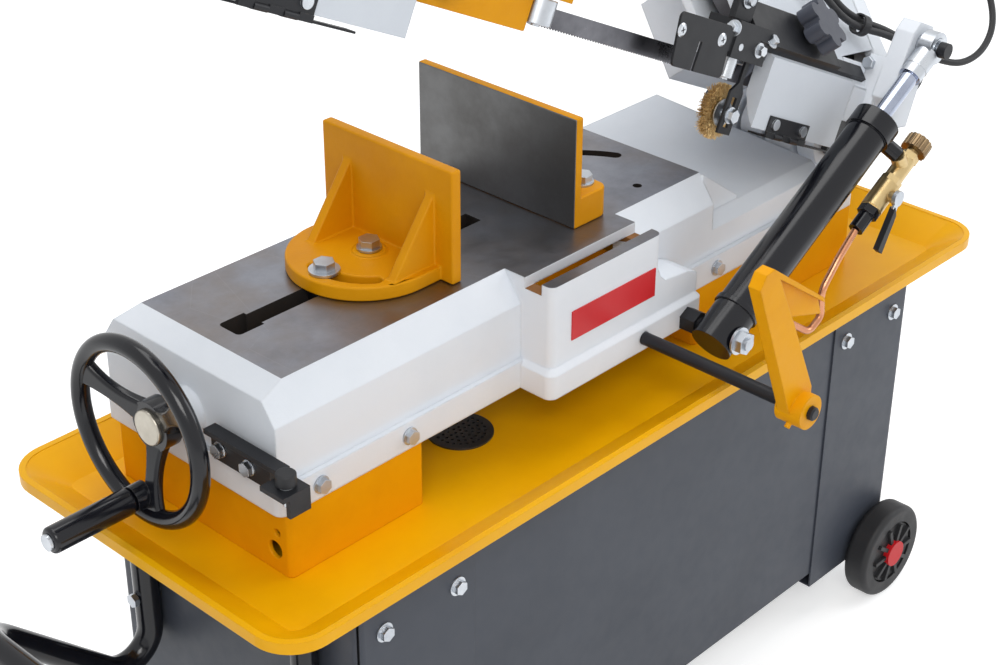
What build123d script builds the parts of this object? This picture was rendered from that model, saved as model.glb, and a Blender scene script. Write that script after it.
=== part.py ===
from build123d import *
import math
import os

os.makedirs("parts", exist_ok=True)

# Metal cutting band saw, millimetres, +Z up, +X towards the bow pivot, -Y towards the operator.
# Everything is laid out from the vise table and then moved by the datum to the floor.
DATUM_X = -4.75
DATUM_Y = 17.157
DATUM_Z = 38.0

# bow position
PIVOT_X = 426.0
PIVOT_Z = 562.0
LIFT = 25.5
SHAFT_R = 15.0
SHAFT_GAP = 0.06

# stand
STAND_X = 30.5
STAND_Y = 26.5
LEG_OUT = 451.0
LEG_IN = 298.5
CAB_HALF = 182.8
LEG_BOTTOM = 20.0
FLOOR_Z = -38.0
TRAY_Z = 404.7
SHEET = 2.0
PANEL_LAP = 30.0
PANEL_BOTTOM = 40.0
BOLT8_R = 4.0
BOLT8_FLATS = 13.0
BOLT8_HEAD = 5.5
WASHER8_T = 1.6
BOLT_HOLE = 4.4
BOLT_Z = 363.3
BOLT_OUTER = 418.0
BOLT_INNER = 322.0

# lifting handle
TUBE_R = 13.5
HANDLE_HALF = 122.0
HANDLE_TOP = 374.0
HANDLE_GRIP_X = -633.0
HANDLE_GRIP_Z = 342.0
HANDLE_CORNER_Z = 153.0

# transport wheels
WHEEL_X = 457.0
TYRE_R = 62.0
TYRE_W = 32.0
AXLE_R = 8.0
AXLE_GAP = 0.08

# tray
TRAY_X0 = -526.0
TRAY_X1 = 589.0
TRAY_Y0 = -186.0
TRAY_Y1 = 239.0
RIM_Z = 431.6
TRAY_SLOPE = 44.0
TRAY_SHEET = 2.3
LIP_H = 12.0
STRAINER_X = -145.0
STRAINER_Y = -17.0
STRAINER_R = 35.0

# bed
BED_X0 = -441.0
BED_X1 = 455.0
FLANGE_Y0 = -83.0
FLANGE_Y1 = 174.0
BED_Z = 480.0
RIDGE_Z = 516.0
WALL_Y0 = -77.0
WALL_Y1 = 168.0
WALL_Z = 571.0
WALL_T = 12.0
CORE_Z = 500.0
BED_BOLT_Z = 495.0
TABLE_Z = 602.0
TABLE_X0 = -408.0
TABLE_X1 = 186.0
TABLE_Y0 = -55.0
TABLE_Y1 = 145.5
TABLE_T = 22.0
TABLE_CUT = 30.0
BLOCK_X0 = -120.0
BLOCK_X1 = 46.0
BLOCK_Y0 = -118.0
SLOT_Y0 = -104.0
SLOT_Y1 = -82.0
SLOT_FLOOR = 590.0
SUMP_Z = 505.0
SUMP_END = 14.0
LEDGE = 6.0
LEDGE_Z = 512.0
STEP_X1 = 108.0
RISER_WALL = 5.0

# vise
VISE_Y = 45.5
VISE_SLOT = 22.0
SCREW_Z = 541.0
SCREW_R = 9.0
SCREW_GAP = 0.15
JAW_TOP = 723.0
FIXED_FACE = -10.7
FIXED_T = 10.7
FIXED_PIVOT_X = 26.0
FIXED_PIVOT_Y = -26.0
ARC_R = 146.0
ARC_SLOT = 14.0
JAW_Y0 = -49.0
JAW_Y1 = 174.0
HEEL_X1 = 42.0
HEEL_H = 33.0
MOV_BACK = -181.0
MOV_T = 12.5
MOV_TOP = 721.0
MOV_Y0 = -44.0
MOV_Y1 = 136.0
MOV_PIVOT_X = -206.0
MOV_BOLT_X = -265.0
FOOT_X = -208.0
FOOT_Y = 50.0
FOOT_R = 78.0
FOOT_H = 15.0
FOOT_GAP = 0.3
BOLT12_R = 6.0
BOLT12_FLATS = 19.0
BOLT12_HEAD = 8.0
WASHER12_R = 12.5
WASHER12_T = 2.5
HW_X = -494.0
HW_R = 96.0
HW_RIM = 9.0
HUB_X0 = -482.0
HUB_X1 = -464.0
GRIP_ANGLE = -87.0
GRIP_AT = 69.0

# bow
BLADE_Y = -93.0
BLADE_T = 0.9
BLADE_W = 19.0
TEETH_Z = 598.0
TILT = 45.0
RIM_R = 136.0
RIM_W = 24.0
DRIVE_X = 309.0
IDLER_X = -443.0
SKIRT_Y0 = -122.0
SKIRT_T = 1.6
PLATE_W0 = -36.0
PLATE_W1 = -26.0
COVER_W = 38.0
BOW_X0 = IDLER_X - RIM_R - 18.0
BOW_X1 = DRIVE_X + RIM_R + 12.0
BEAM_S0 = 2 * RIM_R + 14.0
BEAM_S1 = BEAM_S0 + 50.0
CHANNEL_S = 2 * RIM_R - 16.0
CHANNEL_T = 2.0
CHANNEL_W = 17.0
RIB_W = 34.0
RIM_T = 8.0
WORM_X = 359.0
WORM_W = -100.0
KNOB_L = -366.0
KNOB_Z = 620.0
KNOB_R_X = 238.0
KNOB_R_S = 38.0
KNOB_STUD_R = 5.0
BRUSH_X = 128.0
BRUSH_Z = 565.5
BRUSH_R = 31.0

# hydraulic cylinder
CYL_Y = -168.0
CYL_X = 87.0
CYL_Z = 489.0
EYE_X = 445.0
EYE_Z = 703.0
CYL_R = 23.5
CAP_R = 26.5
CAP_END = 305.0
CYL_FOOT = -17.0
VALVE_BACK = 25.0
VP = 56.0
LEVER_A = 255.0
ROD_R = 10.0
CYL_WALL = 4.0

# cords on the bow
CORD_R = 4.0
GLAND_R = 8.0
GLAND_L = 14.0


def save(name, shape):
    export_step(Pos(DATUM_X, DATUM_Y, DATUM_Z) * shape, "parts/" + name + ".step")


def bx(x0, x1, y0, y1, z0, z1):
    return Pos((x0 + x1) / 2, (y0 + y1) / 2, (z0 + z1) / 2) * Box(x1 - x0, y1 - y0, z1 - z0)


def rod(a, b, r):
    d = Vector(*b) - Vector(*a)
    return Solid.make_cylinder(r, d.length, Plane(origin=a, z_dir=d))


def cone(a, b, r0, r1):
    d = Vector(*b) - Vector(*a)
    return Solid.make_cone(r0, r1, d.length, Plane(origin=a, z_dir=d))


def prism(points, move):
    face = Face(Wire.make_polygon([Vector(*p) for p in points], close=True))
    return Solid.extrude(face, Vector(*move))


def xz(points, y0, y1):
    return prism([(x, y0, z) for x, z in points], (0, y1 - y0, 0))


def yz(points, x0, x1):
    return prism([(x0, y, z) for y, z in points], (x1 - x0, 0, 0))


def xy(points, z0, z1):
    return prism([(x, y, z0) for x, y in points], (0, 0, z1 - z0))


def hexbar(a, b, flats):
    d = Vector(*b) - Vector(*a)
    plane = Plane(origin=a, z_dir=d)
    face = plane * RegularPolygon(radius=flats / math.sqrt(3), side_count=6)
    return extrude(face, amount=d.length, dir=d.normalized())


def bolt(at, out, shank, r, flats, head, washer, washer_t, nut_at=None):
    # at: point on the clamped face, out: unit vector out of the face, shank: length into the part
    o = Vector(*out)
    p = Vector(*at)
    parts = [rod(tuple(p), tuple(p + o * washer_t), washer)]
    parts.append(hexbar(tuple(p + o * washer_t), tuple(p + o * (washer_t + head)), flats))
    parts.append(rod(tuple(p - o * shank), tuple(p + o * washer_t), r))
    if nut_at is not None:
        q = p - o * nut_at
        parts.append(hexbar(tuple(q), tuple(q - o * (head + 1)), flats))
    whole = parts[0]
    for q in parts[1:]:
        whole = whole + q
    return whole


def wpt(x, s, w):
    t = math.radians(TILT)
    y = BLADE_Y + s * math.sin(t) - w * math.cos(t)
    z = TEETH_Z + BLADE_W / 2 + s * math.cos(t) + w * math.sin(t)
    return (x, y, z)


def wvec(x, s, w):
    a = Vector(*wpt(x, s, w))
    b = Vector(*wpt(0, 0, 0))
    return tuple(a - b)


def wpoly(points, w0, w1):
    face = Face(Wire.make_polygon([Vector(*wpt(x, s, w0)) for x, s in points], close=True))
    return Solid.extrude(face, Vector(*wvec(0, 0, w1 - w0)))


def wbox(x0, x1, s0, s1, w0, w1):
    return wpoly([(x0, s0), (x1, s0), (x1, s1), (x0, s1)], w0, w1)


def wrod(x, s, w0, w1, r):
    return rod(wpt(x, s, w0), wpt(x, s, w1), r)


def bow(shape):
    # from the lowered position to the rest position
    turn = Pos(PIVOT_X, 0, PIVOT_Z) * Rot(0, LIFT, 0) * Pos(-PIVOT_X, 0, -PIVOT_Z)
    return turn * shape


def tube(points, r, radii):
    path = FilletPolyline(*points, radius=radii)
    start = Plane(origin=path @ 0, z_dir=path % 0)
    return sweep(start * Circle(r), path=path)


def fan(points):
    # corner radii for a cord route: 0.45 of the shorter run over the tangent of half the turn
    out = []
    for i in range(1, len(points) - 1):
        a = Vector(*points[i]) - Vector(*points[i - 1])
        b = Vector(*points[i + 1]) - Vector(*points[i])
        turn = math.radians(a.get_angle(b))
        out.append(0.45 * min(a.length, b.length) / math.tan(turn / 2))
    return out


# stand legs
def leg(side):
    x_out = STAND_X + side * LEG_OUT
    x_in = STAND_X + side * LEG_IN
    x0 = min(x_out, x_in)
    x1 = max(x_out, x_in)
    y0 = STAND_Y - CAB_HALF
    y1 = STAND_Y + CAB_HALF
    body = bx(x0, x1, y0, y1, LEG_BOTTOM, TRAY_Z)
    rim = body.edges().filter_by(Axis.Z).group_by(Axis.X)[0 if side < 0 else -1]
    body = fillet(rim, 9)
    c0 = x0 + SHEET if side < 0 else x0 - 1
    c1 = x1 + 1 if side < 0 else x1 - SHEET
    body = body - bx(c0, c1, y0 + SHEET, y1 - SHEET, LEG_BOTTOM + SHEET, TRAY_Z - SHEET)
    for off in (BOLT_OUTER, BOLT_INNER):
        hole = rod((STAND_X + side * off, y0 - 5, BOLT_Z), (STAND_X + side * off, y1 + 5, BOLT_Z), BOLT_HOLE)
        body = body - hole
    return body


leg_left = leg(-1)
leg_right = leg(1)
for y in (STAND_Y - HANDLE_HALF, STAND_Y + HANDLE_HALF):
    for z in (HANDLE_TOP - 22, HANDLE_TOP - 102):
        x = STAND_X - LEG_OUT
        leg_left = leg_left - rod((x - 5, y, z), (x + 10, y, z), BOLT_HOLE)
FEET = [(STAND_X - LEG_OUT + 62, STAND_Y - 150), (STAND_X - LEG_OUT + 62, STAND_Y + 150)]
for x, y in FEET:
    leg_left = leg_left - rod((x, y, LEG_BOTTOM - 5), (x, y, LEG_BOTTOM + 10), 8.4)
AXLE_Z = FLOOR_Z + TYRE_R
axle_y0 = STAND_Y - CAB_HALF - 4 - TYRE_W - 1
axle_y1 = STAND_Y + CAB_HALF + 4 + TYRE_W + 1
leg_right = leg_right - rod((WHEEL_X, axle_y0, AXLE_Z), (WHEEL_X, axle_y1, AXLE_Z), AXLE_R + 0.3)
save("stand_legs", Compound(children=[leg_left, leg_right]))

# panels between the legs, lapped behind the leg faces
def panel(side):
    face = STAND_Y + side * (CAB_HALF - SHEET)
    back = face - side * SHEET
    deep = back - side * 26
    x0 = STAND_X - LEG_IN - PANEL_LAP
    x1 = STAND_X + LEG_IN + PANEL_LAP
    ya = min(face, back)
    yb = max(face, back)
    yc = min(face, deep)
    yd = max(face, deep)
    body = bx(x0, x1, ya, yb, PANEL_BOTTOM, TRAY_Z - SHEET)
    body = body + bx(x0, x1, yc, yd, TRAY_Z - SHEET - SHEET, TRAY_Z - SHEET)
    body = body + bx(x0, x1, yc, yd, PANEL_BOTTOM, PANEL_BOTTOM + SHEET)
    for s in (-1, 1):
        x = STAND_X + s * BOLT_INNER
        body = body - rod((x, ya - 5, BOLT_Z), (x, yb + 5, BOLT_Z), BOLT_HOLE)
    return body


save("stand_panels", Compound(children=[panel(-1), panel(1)]))

frame_bolts = []
for side in (-1, 1):
    face = STAND_Y + side * CAB_HALF
    for s in (-1, 1):
        for off, deep in ((BOLT_OUTER, SHEET), (BOLT_INNER, 2 * SHEET)):
            at = (STAND_X + s * off, face, BOLT_Z)
            frame_bolts.append(bolt(at, (0, side, 0), 14, BOLT8_R, BOLT8_FLATS, BOLT8_HEAD, 10,
                                    WASHER8_T, deep))
for y in (STAND_Y - HANDLE_HALF, STAND_Y + HANDLE_HALF):
    for z in (HANDLE_TOP - 22, HANDLE_TOP - 102):
        at = (STAND_X - LEG_OUT - 2 * TUBE_R - 0.2, y, z)
        reach = 2 * TUBE_R + 0.2
        frame_bolts.append(bolt(at, (-1, 0, 0), reach + 12, BOLT8_R, BOLT8_FLATS, BOLT8_HEAD, 6.4, 0.8,
                                reach + SHEET))

# lifting handle, one bent tube
HX = STAND_X - LEG_OUT - TUBE_R - 0.2
ya = STAND_Y - HANDLE_HALF
yb = STAND_Y + HANDLE_HALF
handle_path = [
    (HX, ya, HANDLE_TOP),
    (HX, ya, HANDLE_CORNER_Z),
    (HANDLE_GRIP_X, ya, HANDLE_GRIP_Z),
    (HANDLE_GRIP_X, yb, HANDLE_GRIP_Z),
    (HX, yb, HANDLE_CORNER_Z),
    (HX, yb, HANDLE_TOP),
]
handle = tube(handle_path, TUBE_R, [35, 50, 50, 35])
for y in (ya, yb):
    handle = handle - rod((HX, y, HANDLE_TOP - 130), (HX, y, HANDLE_TOP + 1), TUBE_R - 2)
    for z in (HANDLE_TOP - 22, HANDLE_TOP - 102):
        handle = handle - rod((HX - 20, y, z), (HX + 20, y, z), BOLT_HOLE)
save("lift_handle", handle)

# two feet under the left leg
feet = []
for x, y in FEET:
    foot = rod((x, y, FLOOR_Z), (x, y, FLOOR_Z + 14), 26)
    foot = foot + cone((x, y, FLOOR_Z + 14), (x, y, FLOOR_Z + 40), 20, 13)
    foot = foot + rod((x, y, FLOOR_Z + 40), (x, y, LEG_BOTTOM + 18), 8)
    foot = foot + hexbar((x, y, LEG_BOTTOM - 9), (x, y, LEG_BOTTOM), 24)
    foot = foot + hexbar((x, y, LEG_BOTTOM + SHEET), (x, y, LEG_BOTTOM + SHEET + 9), 24)
    feet.append(foot)
save("stand_feet", Compound(children=feet))

# transport wheels on one axle
save("wheel_axle", rod((WHEEL_X, axle_y0, AXLE_Z), (WHEEL_X, axle_y1, AXLE_Z), AXLE_R))


def transport_wheel(side):
    y_in = STAND_Y + side * (CAB_HALF + 4)
    y_out = y_in + side * TYRE_W
    body = rod((WHEEL_X, y_in, AXLE_Z), (WHEEL_X, y_out, AXLE_Z), TYRE_R)
    body = fillet(body.edges().filter_by(GeomType.CIRCLE), 7)
    body = body - rod((WHEEL_X, y_out - side * 6, AXLE_Z), (WHEEL_X, y_out + side, AXLE_Z), 42)
    body = body - rod((WHEEL_X, y_in - 40, AXLE_Z), (WHEEL_X, y_in + 40, AXLE_Z), AXLE_R + AXLE_GAP)
    hub_in = y_out - side * 6
    hub = rod((WHEEL_X, hub_in, AXLE_Z), (WHEEL_X, hub_in + side * 4, AXLE_Z), 40)
    hub = hub + rod((WHEEL_X, hub_in, AXLE_Z), (WHEEL_X, hub_in + side * 12, AXLE_Z), 17)
    for i in range(10):
        a = 36.0 * i
        fin = Pos(WHEEL_X, hub_in + side * 5.5, AXLE_Z) * Rot(0, a, 0) * Pos(27, 0, 0) * Box(24, 7, 5)
        hub = hub + fin
    hub = hub - rod((WHEEL_X, hub_in - side, AXLE_Z), (WHEEL_X, hub_in + side * 8, AXLE_Z), AXLE_R + 0.4)
    return body, hub


for side, tag in ((-1, "front"), (1, "rear")):
    tyre, hub = transport_wheel(side)
    save("transport_wheel_" + tag, Compound(children=[tyre, hub]))

# chip tray
def rounded(x0, x1, y0, y1, r, z):
    return Pos((x0 + x1) / 2, (y0 + y1) / 2, z) * RectangleRounded(x1 - x0, y1 - y0, r)


k = TRAY_SLOPE
basin = loft([rounded(TRAY_X0 + k, TRAY_X1 - k, TRAY_Y0 + k, TRAY_Y1 - k, 12, TRAY_Z),
              rounded(TRAY_X0 + 4, TRAY_X1 - 4, TRAY_Y0 + 4, TRAY_Y1 - 4, 40, RIM_Z - 1)], ruled=True)
tray = basin - Pos(0, 0, TRAY_SHEET) * basin
lip = extrude(rounded(TRAY_X0, TRAY_X1, TRAY_Y0, TRAY_Y1, 44, RIM_Z - LIP_H), amount=LIP_H)
lip_in = rounded(TRAY_X0 + 2, TRAY_X1 - 2, TRAY_Y0 + 2, TRAY_Y1 - 2, 42, RIM_Z - LIP_H - 1)
lip = lip - extrude(lip_in, amount=LIP_H - 1)
lip = lip - extrude(rounded(TRAY_X0 + 7, TRAY_X1 - 7, TRAY_Y0 + 7, TRAY_Y1 - 7, 37, RIM_Z - 5), amount=10)
tray = tray + lip
tray = tray - rod((STRAINER_X, STRAINER_Y, TRAY_Z - 5), (STRAINER_X, STRAINER_Y, TRAY_Z + 9), STRAINER_R - 5)
TRAY_TOP = TRAY_Z + TRAY_SHEET
save("tray", tray)

strainer_face = Circle(STRAINER_R)
spots = []
for ring_r, count in ((0, 1), (6.5, 6), (13, 12), (19.5, 18), (26, 24)):
    for i in range(count):
        a = 2 * math.pi * i / count
        spots.append((ring_r * math.cos(a), ring_r * math.sin(a)))
strainer_face = strainer_face - [Pos(x, y) * Circle(1.9) for x, y in spots]
save("strainer", Pos(STRAINER_X, STRAINER_Y, TRAY_TOP) * extrude(strainer_face, amount=2))

# risers between tray and bed
def riser(x0, x1):
    y0 = FLANGE_Y0 + 2
    y1 = FLANGE_Y1 - 2
    w = RISER_WALL
    body = bx(x0, x1, y0, y1, TRAY_TOP, BED_Z)
    body = fillet(body.edges().filter_by(Axis.Z), 6)
    return body - bx(x0 + w, x1 - w, y0 + w, y1 - w, TRAY_TOP - 1, BED_Z - w)


riser_left = riser(-431, -259)
riser_left = riser_left - rod((-440, -64, 451), (-420, -64, 451), 4)
riser_left = riser_left - rod((-440, -60, 431), (-420, -60, 431), 9)
save("risers", Compound(children=[riser_left, riser(159, 455)]))

# bed casting
bed = bx(BED_X0, BED_X1, FLANGE_Y0, FLANGE_Y1, BED_Z, RIDGE_Z - 6)
bed = fillet(bed.edges().filter_by(Axis.Z), 10)
section = [(WALL_Y0, CORE_Z), (WALL_Y0, WALL_Z), (TABLE_Y0, TABLE_Z), (TABLE_Y1, TABLE_Z), (WALL_Y1, WALL_Z),
           (WALL_Y1, CORE_Z)]
bed = bed + yz(section, BED_X0 + 4, TABLE_X1)
bed = bed - xz([(TABLE_X0, TABLE_Z), (BED_X0 - 1, 592), (BED_X0 - 1, 620), (TABLE_X0, 620)], -120, 200)
deck = [(WALL_Y0, CORE_Z), (WALL_Y0, 540), (WALL_Y0 + 14, 552), (WALL_Y1, 566), (WALL_Y1, CORE_Z)]
bed = bed + yz(deck, TABLE_X1 - 20, 388)
ramp = [(TABLE_X1 - 20, 520), (TABLE_X1, TABLE_Z - 1.5), (TABLE_X1 + 62, 556), (TABLE_X1 + 62, 520)]
bed = bed + xz(ramp, -62, 140)
block = bx(BLOCK_X0, BLOCK_X1, BLOCK_Y0, TABLE_Y0 + 1, BED_Z, TABLE_Z)
block = fillet(block.edges().filter_by(Axis.Z).group_by(Axis.Y)[0], 8)
bed = bed + block
step = xz([(BLOCK_X1 - 9, BED_Z), (BLOCK_X1 - 9, 572), (BLOCK_X1 + 1, 552), (BLOCK_X1 + 10, 544), (92, 541),
           (STEP_X1, 534), (STEP_X1, BED_Z)], BLOCK_Y0, WALL_Y0 + 1)
bed = bed + step
ledge = bx(BLOCK_X0 - LEDGE, STEP_X1 + LEDGE, BLOCK_Y0 - LEDGE, WALL_Y0 + 1, BED_Z, LEDGE_Z)
ledge = fillet(ledge.edges().filter_by(Axis.Z).group_by(Axis.Y)[0], 10)
ledge = chamfer(ledge.faces().sort_by(Axis.Z)[-1].edges(), LEDGE - 0.2)
bed = bed + ledge
bed = bed - bx(BLOCK_X0 - 1, BLOCK_X1 + 1, SLOT_Y0, SLOT_Y1, SLOT_FLOOR, TABLE_Z + 1)
SUMP_X0 = BLOCK_X0 + SUMP_END
SUMP_X1 = BLOCK_X1 - SUMP_END
bed = bed - bx(SUMP_X0, SUMP_X1, SLOT_Y0, SLOT_Y1, SUMP_Z, TABLE_Z + 1)
EAR_A = (-30.0, 8.0)
EAR_B = (52.0, 80.0)
for e0, e1 in (EAR_A, EAR_B):
    ear = bx(PIVOT_X - 32, PIVOT_X + 29, e0, e1, CORE_Z, PIVOT_Z)
    ear = ear + rod((PIVOT_X, e0, PIVOT_Z), (PIVOT_X, e1, PIVOT_Z), 32)
    bed = bed + ear
HOLLOW_Y0 = WALL_Y0 + WALL_T
HOLLOW_Y1 = WALL_Y1 - WALL_T
bed = bed - bx(BED_X0 + 16, TABLE_X1 - 10, HOLLOW_Y0, HOLLOW_Y1, BED_Z - 1, TABLE_Z - TABLE_T)
bed = bed - bx(TABLE_X1 - 11, BED_X1 - 70, HOLLOW_Y0, HOLLOW_Y1, BED_Z - 1, 530)
bed = bed - bx(BED_X1 - 71, BED_X1 - 14, HOLLOW_Y0, HOLLOW_Y1, BED_Z - 1, RIDGE_Z - 18)
bed = bed - bx(SUMP_X0, SUMP_X1, SLOT_Y1 - 1, HOLLOW_Y0 + 1, SUMP_Z, SLOT_FLOOR)
END_X = BED_X0 + 4
bed = bed + rod((END_X, VISE_Y, SCREW_Z), (BED_X0 - 6, VISE_Y, SCREW_Z), 24)
bed = bed + bx(-46, -26, VISE_Y - 20, VISE_Y + 20, SCREW_Z - 20, TABLE_Z - 10)
bed = bed - rod((BED_X0 - 20, VISE_Y, SCREW_Z), (-34, VISE_Y, SCREW_Z), SCREW_R + SCREW_GAP)
slot_half = VISE_SLOT / 2
bed = bed - bx(-370, -60, VISE_Y - slot_half, VISE_Y + slot_half, TABLE_Z - TABLE_CUT, TABLE_Z + 5)
pocket = bx(-385, -354, VISE_Y - 15, VISE_Y + 15, TABLE_Z - TABLE_CUT, TABLE_Z + 5)
pocket = fillet(pocket.edges().filter_by(Axis.Z).group_by(Axis.X)[0], 5)
bed = bed - pocket
arc = Pos(FIXED_PIVOT_X, FIXED_PIVOT_Y, TABLE_Z - TABLE_CUT) * extrude(
    SlotArc(CenterArc((0, 0), ARC_R, 26.5, 48.5), ARC_SLOT), amount=40)
bed = bed - arc
for x, y, r in ((FIXED_PIVOT_X, FIXED_PIVOT_Y, BOLT12_R + 0.1), (114, -28, 5)):
    bed = bed - rod((x, y, TABLE_Z - TABLE_CUT), (x, y, TABLE_Z + 5), r)
bed = bed - rod((PIVOT_X, EAR_A[0] - 5, PIVOT_Z), (PIVOT_X, EAR_B[1] + 5, PIVOT_Z), SHAFT_R)
STOP_X = 17.0
STOP_Z = 494.0
STOP_R = 7.0
bed = bed - rod((STOP_X, BLOCK_Y0 - LEDGE - 5, STOP_Z), (STOP_X, WALL_Y0 + 25, STOP_Z), STOP_R + 0.1)
bed = bed - rod((CYL_X, BLOCK_Y0 - LEDGE - 5, CYL_Z), (CYL_X, BLOCK_Y0 + 26, CYL_Z), 7)
BED_BOLTS = [(-392, FLANGE_Y0), (-280, FLANGE_Y0), (190, FLANGE_Y0), (400, FLANGE_Y0)]
for x, y in BED_BOLTS:
    bed = bed - rod((x, y - 5, BED_BOLT_Z), (x, y + 12, BED_BOLT_Z), BOLT8_R + 0.05)
STOP_BOLTS = [(-11, 526), (-51, 525)]
for y, z in STOP_BOLTS:
    bed = bed - rod((BED_X0 - 5, y, z), (BED_X0 + 20, y, z), BOLT8_R + 0.05)
save("bed", bed)

save("label_plate", bx(-91, 37, BLOCK_Y0 - 1.2, BLOCK_Y0, 534, 566))

for x, y in BED_BOLTS:
    at = (x, y, BED_BOLT_Z)
    frame_bolts.append(bolt(at, (0, -1, 0), 11, BOLT8_R, BOLT8_FLATS, BOLT8_HEAD, 9, WASHER8_T))
for y, z in STOP_BOLTS:
    at = (BED_X0 - 6, y, z)
    frame_bolts.append(bolt(at, (-1, 0, 0), 18, BOLT8_R, BOLT8_FLATS, BOLT8_HEAD, 8, WASHER8_T))
save("frame_bolts", Compound(children=frame_bolts))

# down stop of the bow at the left end: angle bar, lowered tab and rubber bumper
BUMP_X = BED_X0 - 15
BUMP_Y = -112.0
TAB_TOP = 538.0
bracket = bx(BED_X0 - 6, BED_X0, -79, 2, 512, 546)
bracket = bracket + bx(BED_X0 - 14, BED_X0, -100, 2, 541, 546)
bracket = bracket + bx(BED_X0 - 14, BED_X0, -100, -95, TAB_TOP - 5, 546)
bracket = bracket + bx(BED_X0 - 31, BED_X0, -126, -95, TAB_TOP - 5, TAB_TOP)
bracket = bracket + bx(BED_X0 - 24, BED_X0, -126, -121, 514, TAB_TOP)
bracket = bracket - rod((BUMP_X, BUMP_Y, 520), (BUMP_X, BUMP_Y, 550), 4.1)
for y, z in STOP_BOLTS:
    bracket = bracket - rod((BED_X0 - 10, y, z), (BED_X0 + 5, y, z), BOLT8_R + 0.2)
screw = rod((BUMP_X, BUMP_Y, 518), (BUMP_X, BUMP_Y, TAB_TOP + 2.4), 4)
screw = screw + hexbar((BUMP_X, BUMP_Y, TAB_TOP - 12), (BUMP_X, BUMP_Y, TAB_TOP - 5), 13)
screw = screw + rod((BUMP_X, BUMP_Y, TAB_TOP), (BUMP_X, BUMP_Y, TAB_TOP + 2.4), 7)
bumper = rod((BUMP_X, BUMP_Y, TAB_TOP + 2.4), (BUMP_X, BUMP_Y, 552.4), 9.5)
bumper = fillet(bumper.edges().filter_by(GeomType.CIRCLE).group_by(Axis.Z)[-1], 2)
save("stop_bracket", Compound(children=[bracket, screw, bumper]))

# pivot shaft
shaft = rod((PIVOT_X, -72, PIVOT_Z), (PIVOT_X, 108, PIVOT_Z), SHAFT_R)
shaft = shaft + rod((PIVOT_X, -76, PIVOT_Z), (PIVOT_X, -70, PIVOT_Z), 20)
shaft = shaft + rod((PIVOT_X, 107, PIVOT_Z), (PIVOT_X, 113, PIVOT_Z), 20)
save("pivot_shaft", shaft)

# coolant tank on the panels' bottom flanges, with its pump
TANK_X0 = -230.0
TANK_X1 = 150.0
TANK_Z = PANEL_BOTTOM + SHEET
TANK_TOP = 210.0
tank_y0 = STAND_Y - CAB_HALF + 3 * SHEET
tank_y1 = STAND_Y + CAB_HALF - 3 * SHEET
tank = bx(TANK_X0, TANK_X1, tank_y0, tank_y1, TANK_Z, TANK_TOP)
tank = fillet(tank.edges().filter_by(Axis.Z), 15)
tank = tank - bx(TANK_X0 + 2, TANK_X1 - 2, tank_y0 + 2, tank_y1 - 2, TANK_Z + 2, TANK_TOP + 5)
tank = tank + bx(TANK_X1 - 142, TANK_X1 - 2, tank_y0 + 1, tank_y1 - 1, TANK_TOP - 2, TANK_TOP)
PUMP_X = TANK_X1 - 70
PUMP_Y = 40.0
tank = tank - rod((PUMP_X, PUMP_Y, TANK_TOP - 9), (PUMP_X, PUMP_Y, TANK_TOP + 9), 40)
pump = rod((PUMP_X, PUMP_Y, 90), (PUMP_X, PUMP_Y, TANK_TOP + 4), 30)
pump = pump + rod((PUMP_X, PUMP_Y, TANK_TOP), (PUMP_X, PUMP_Y, TANK_TOP + 8), 62)
pump = pump + rod((PUMP_X, PUMP_Y, TANK_TOP + 8), (PUMP_X, PUMP_Y, TANK_TOP + 108), 45)
pump = pump + rod((PUMP_X, PUMP_Y + 30, TANK_TOP + 24), (PUMP_X, PUMP_Y + 62, TANK_TOP + 24), 9)
save("coolant_unit", Compound(children=[tank, pump]))

# vise: fixed jaw, one casting with a machined face
PLATE_BACK = FIXED_FACE + FIXED_T
jaw = bx(FIXED_FACE, PLATE_BACK, JAW_Y0, JAW_Y1, TABLE_Z, JAW_TOP)
heel = bx(PLATE_BACK - 1, HEEL_X1, JAW_Y0, JAW_Y0 + 46, TABLE_Z, TABLE_Z + HEEL_H)
heel = fillet(heel.edges().filter_by(Axis.Z).group_by(Axis.X)[-1], 12)
jaw = jaw + heel
ARC_A = math.radians(73)
arc_bolt = (FIXED_PIVOT_X + ARC_R * math.cos(ARC_A), FIXED_PIVOT_Y + ARC_R * math.sin(ARC_A))
foot_line = [
    (PLATE_BACK - 1, JAW_Y0 + 20),
    (HEEL_X1 - 4, JAW_Y0 + 20),
    (HEEL_X1, 20),
    (arc_bolt[0] + 24, arc_bolt[1] - 26),
    (arc_bolt[0] + 24, arc_bolt[1] + 20),
    (arc_bolt[0] - 20, JAW_Y1 - 10),
    (PLATE_BACK - 1, JAW_Y1 - 4),
]
foot = xy(foot_line, TABLE_Z, TABLE_Z + FOOT_H)
foot = fillet(foot.edges().filter_by(Axis.Z).group_by(Axis.X)[-1], 14)
jaw = jaw + foot
FOOT_TOP = TABLE_Z + FOOT_H - 1
gusset = [(PLATE_BACK - 1, FOOT_TOP), (HEEL_X1 + 6, FOOT_TOP), (PLATE_BACK - 1, JAW_TOP - 14)]
for y in (24, 138):
    jaw = jaw + xz(gusset, y, y + 12)
fixed_seats = [(FIXED_PIVOT_X, FIXED_PIVOT_Y, HEEL_H), (arc_bolt[0], arc_bolt[1], FOOT_H)]
jaw_bolts = []
for x, y, h in fixed_seats:
    jaw = jaw - rod((x, y, TABLE_Z - 5), (x, y, TABLE_Z + 60), BOLT12_R + 0.2)
    at = (x, y, TABLE_Z + h)
    jaw_bolts.append(bolt(at, (0, 0, 1), h + 40, BOLT12_R, BOLT12_FLATS, BOLT12_HEAD, WASHER12_R,
                          WASHER12_T, h + 23))
save("fixed_jaw", jaw)
save("fixed_jaw_bolts", Compound(children=jaw_bolts))

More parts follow.
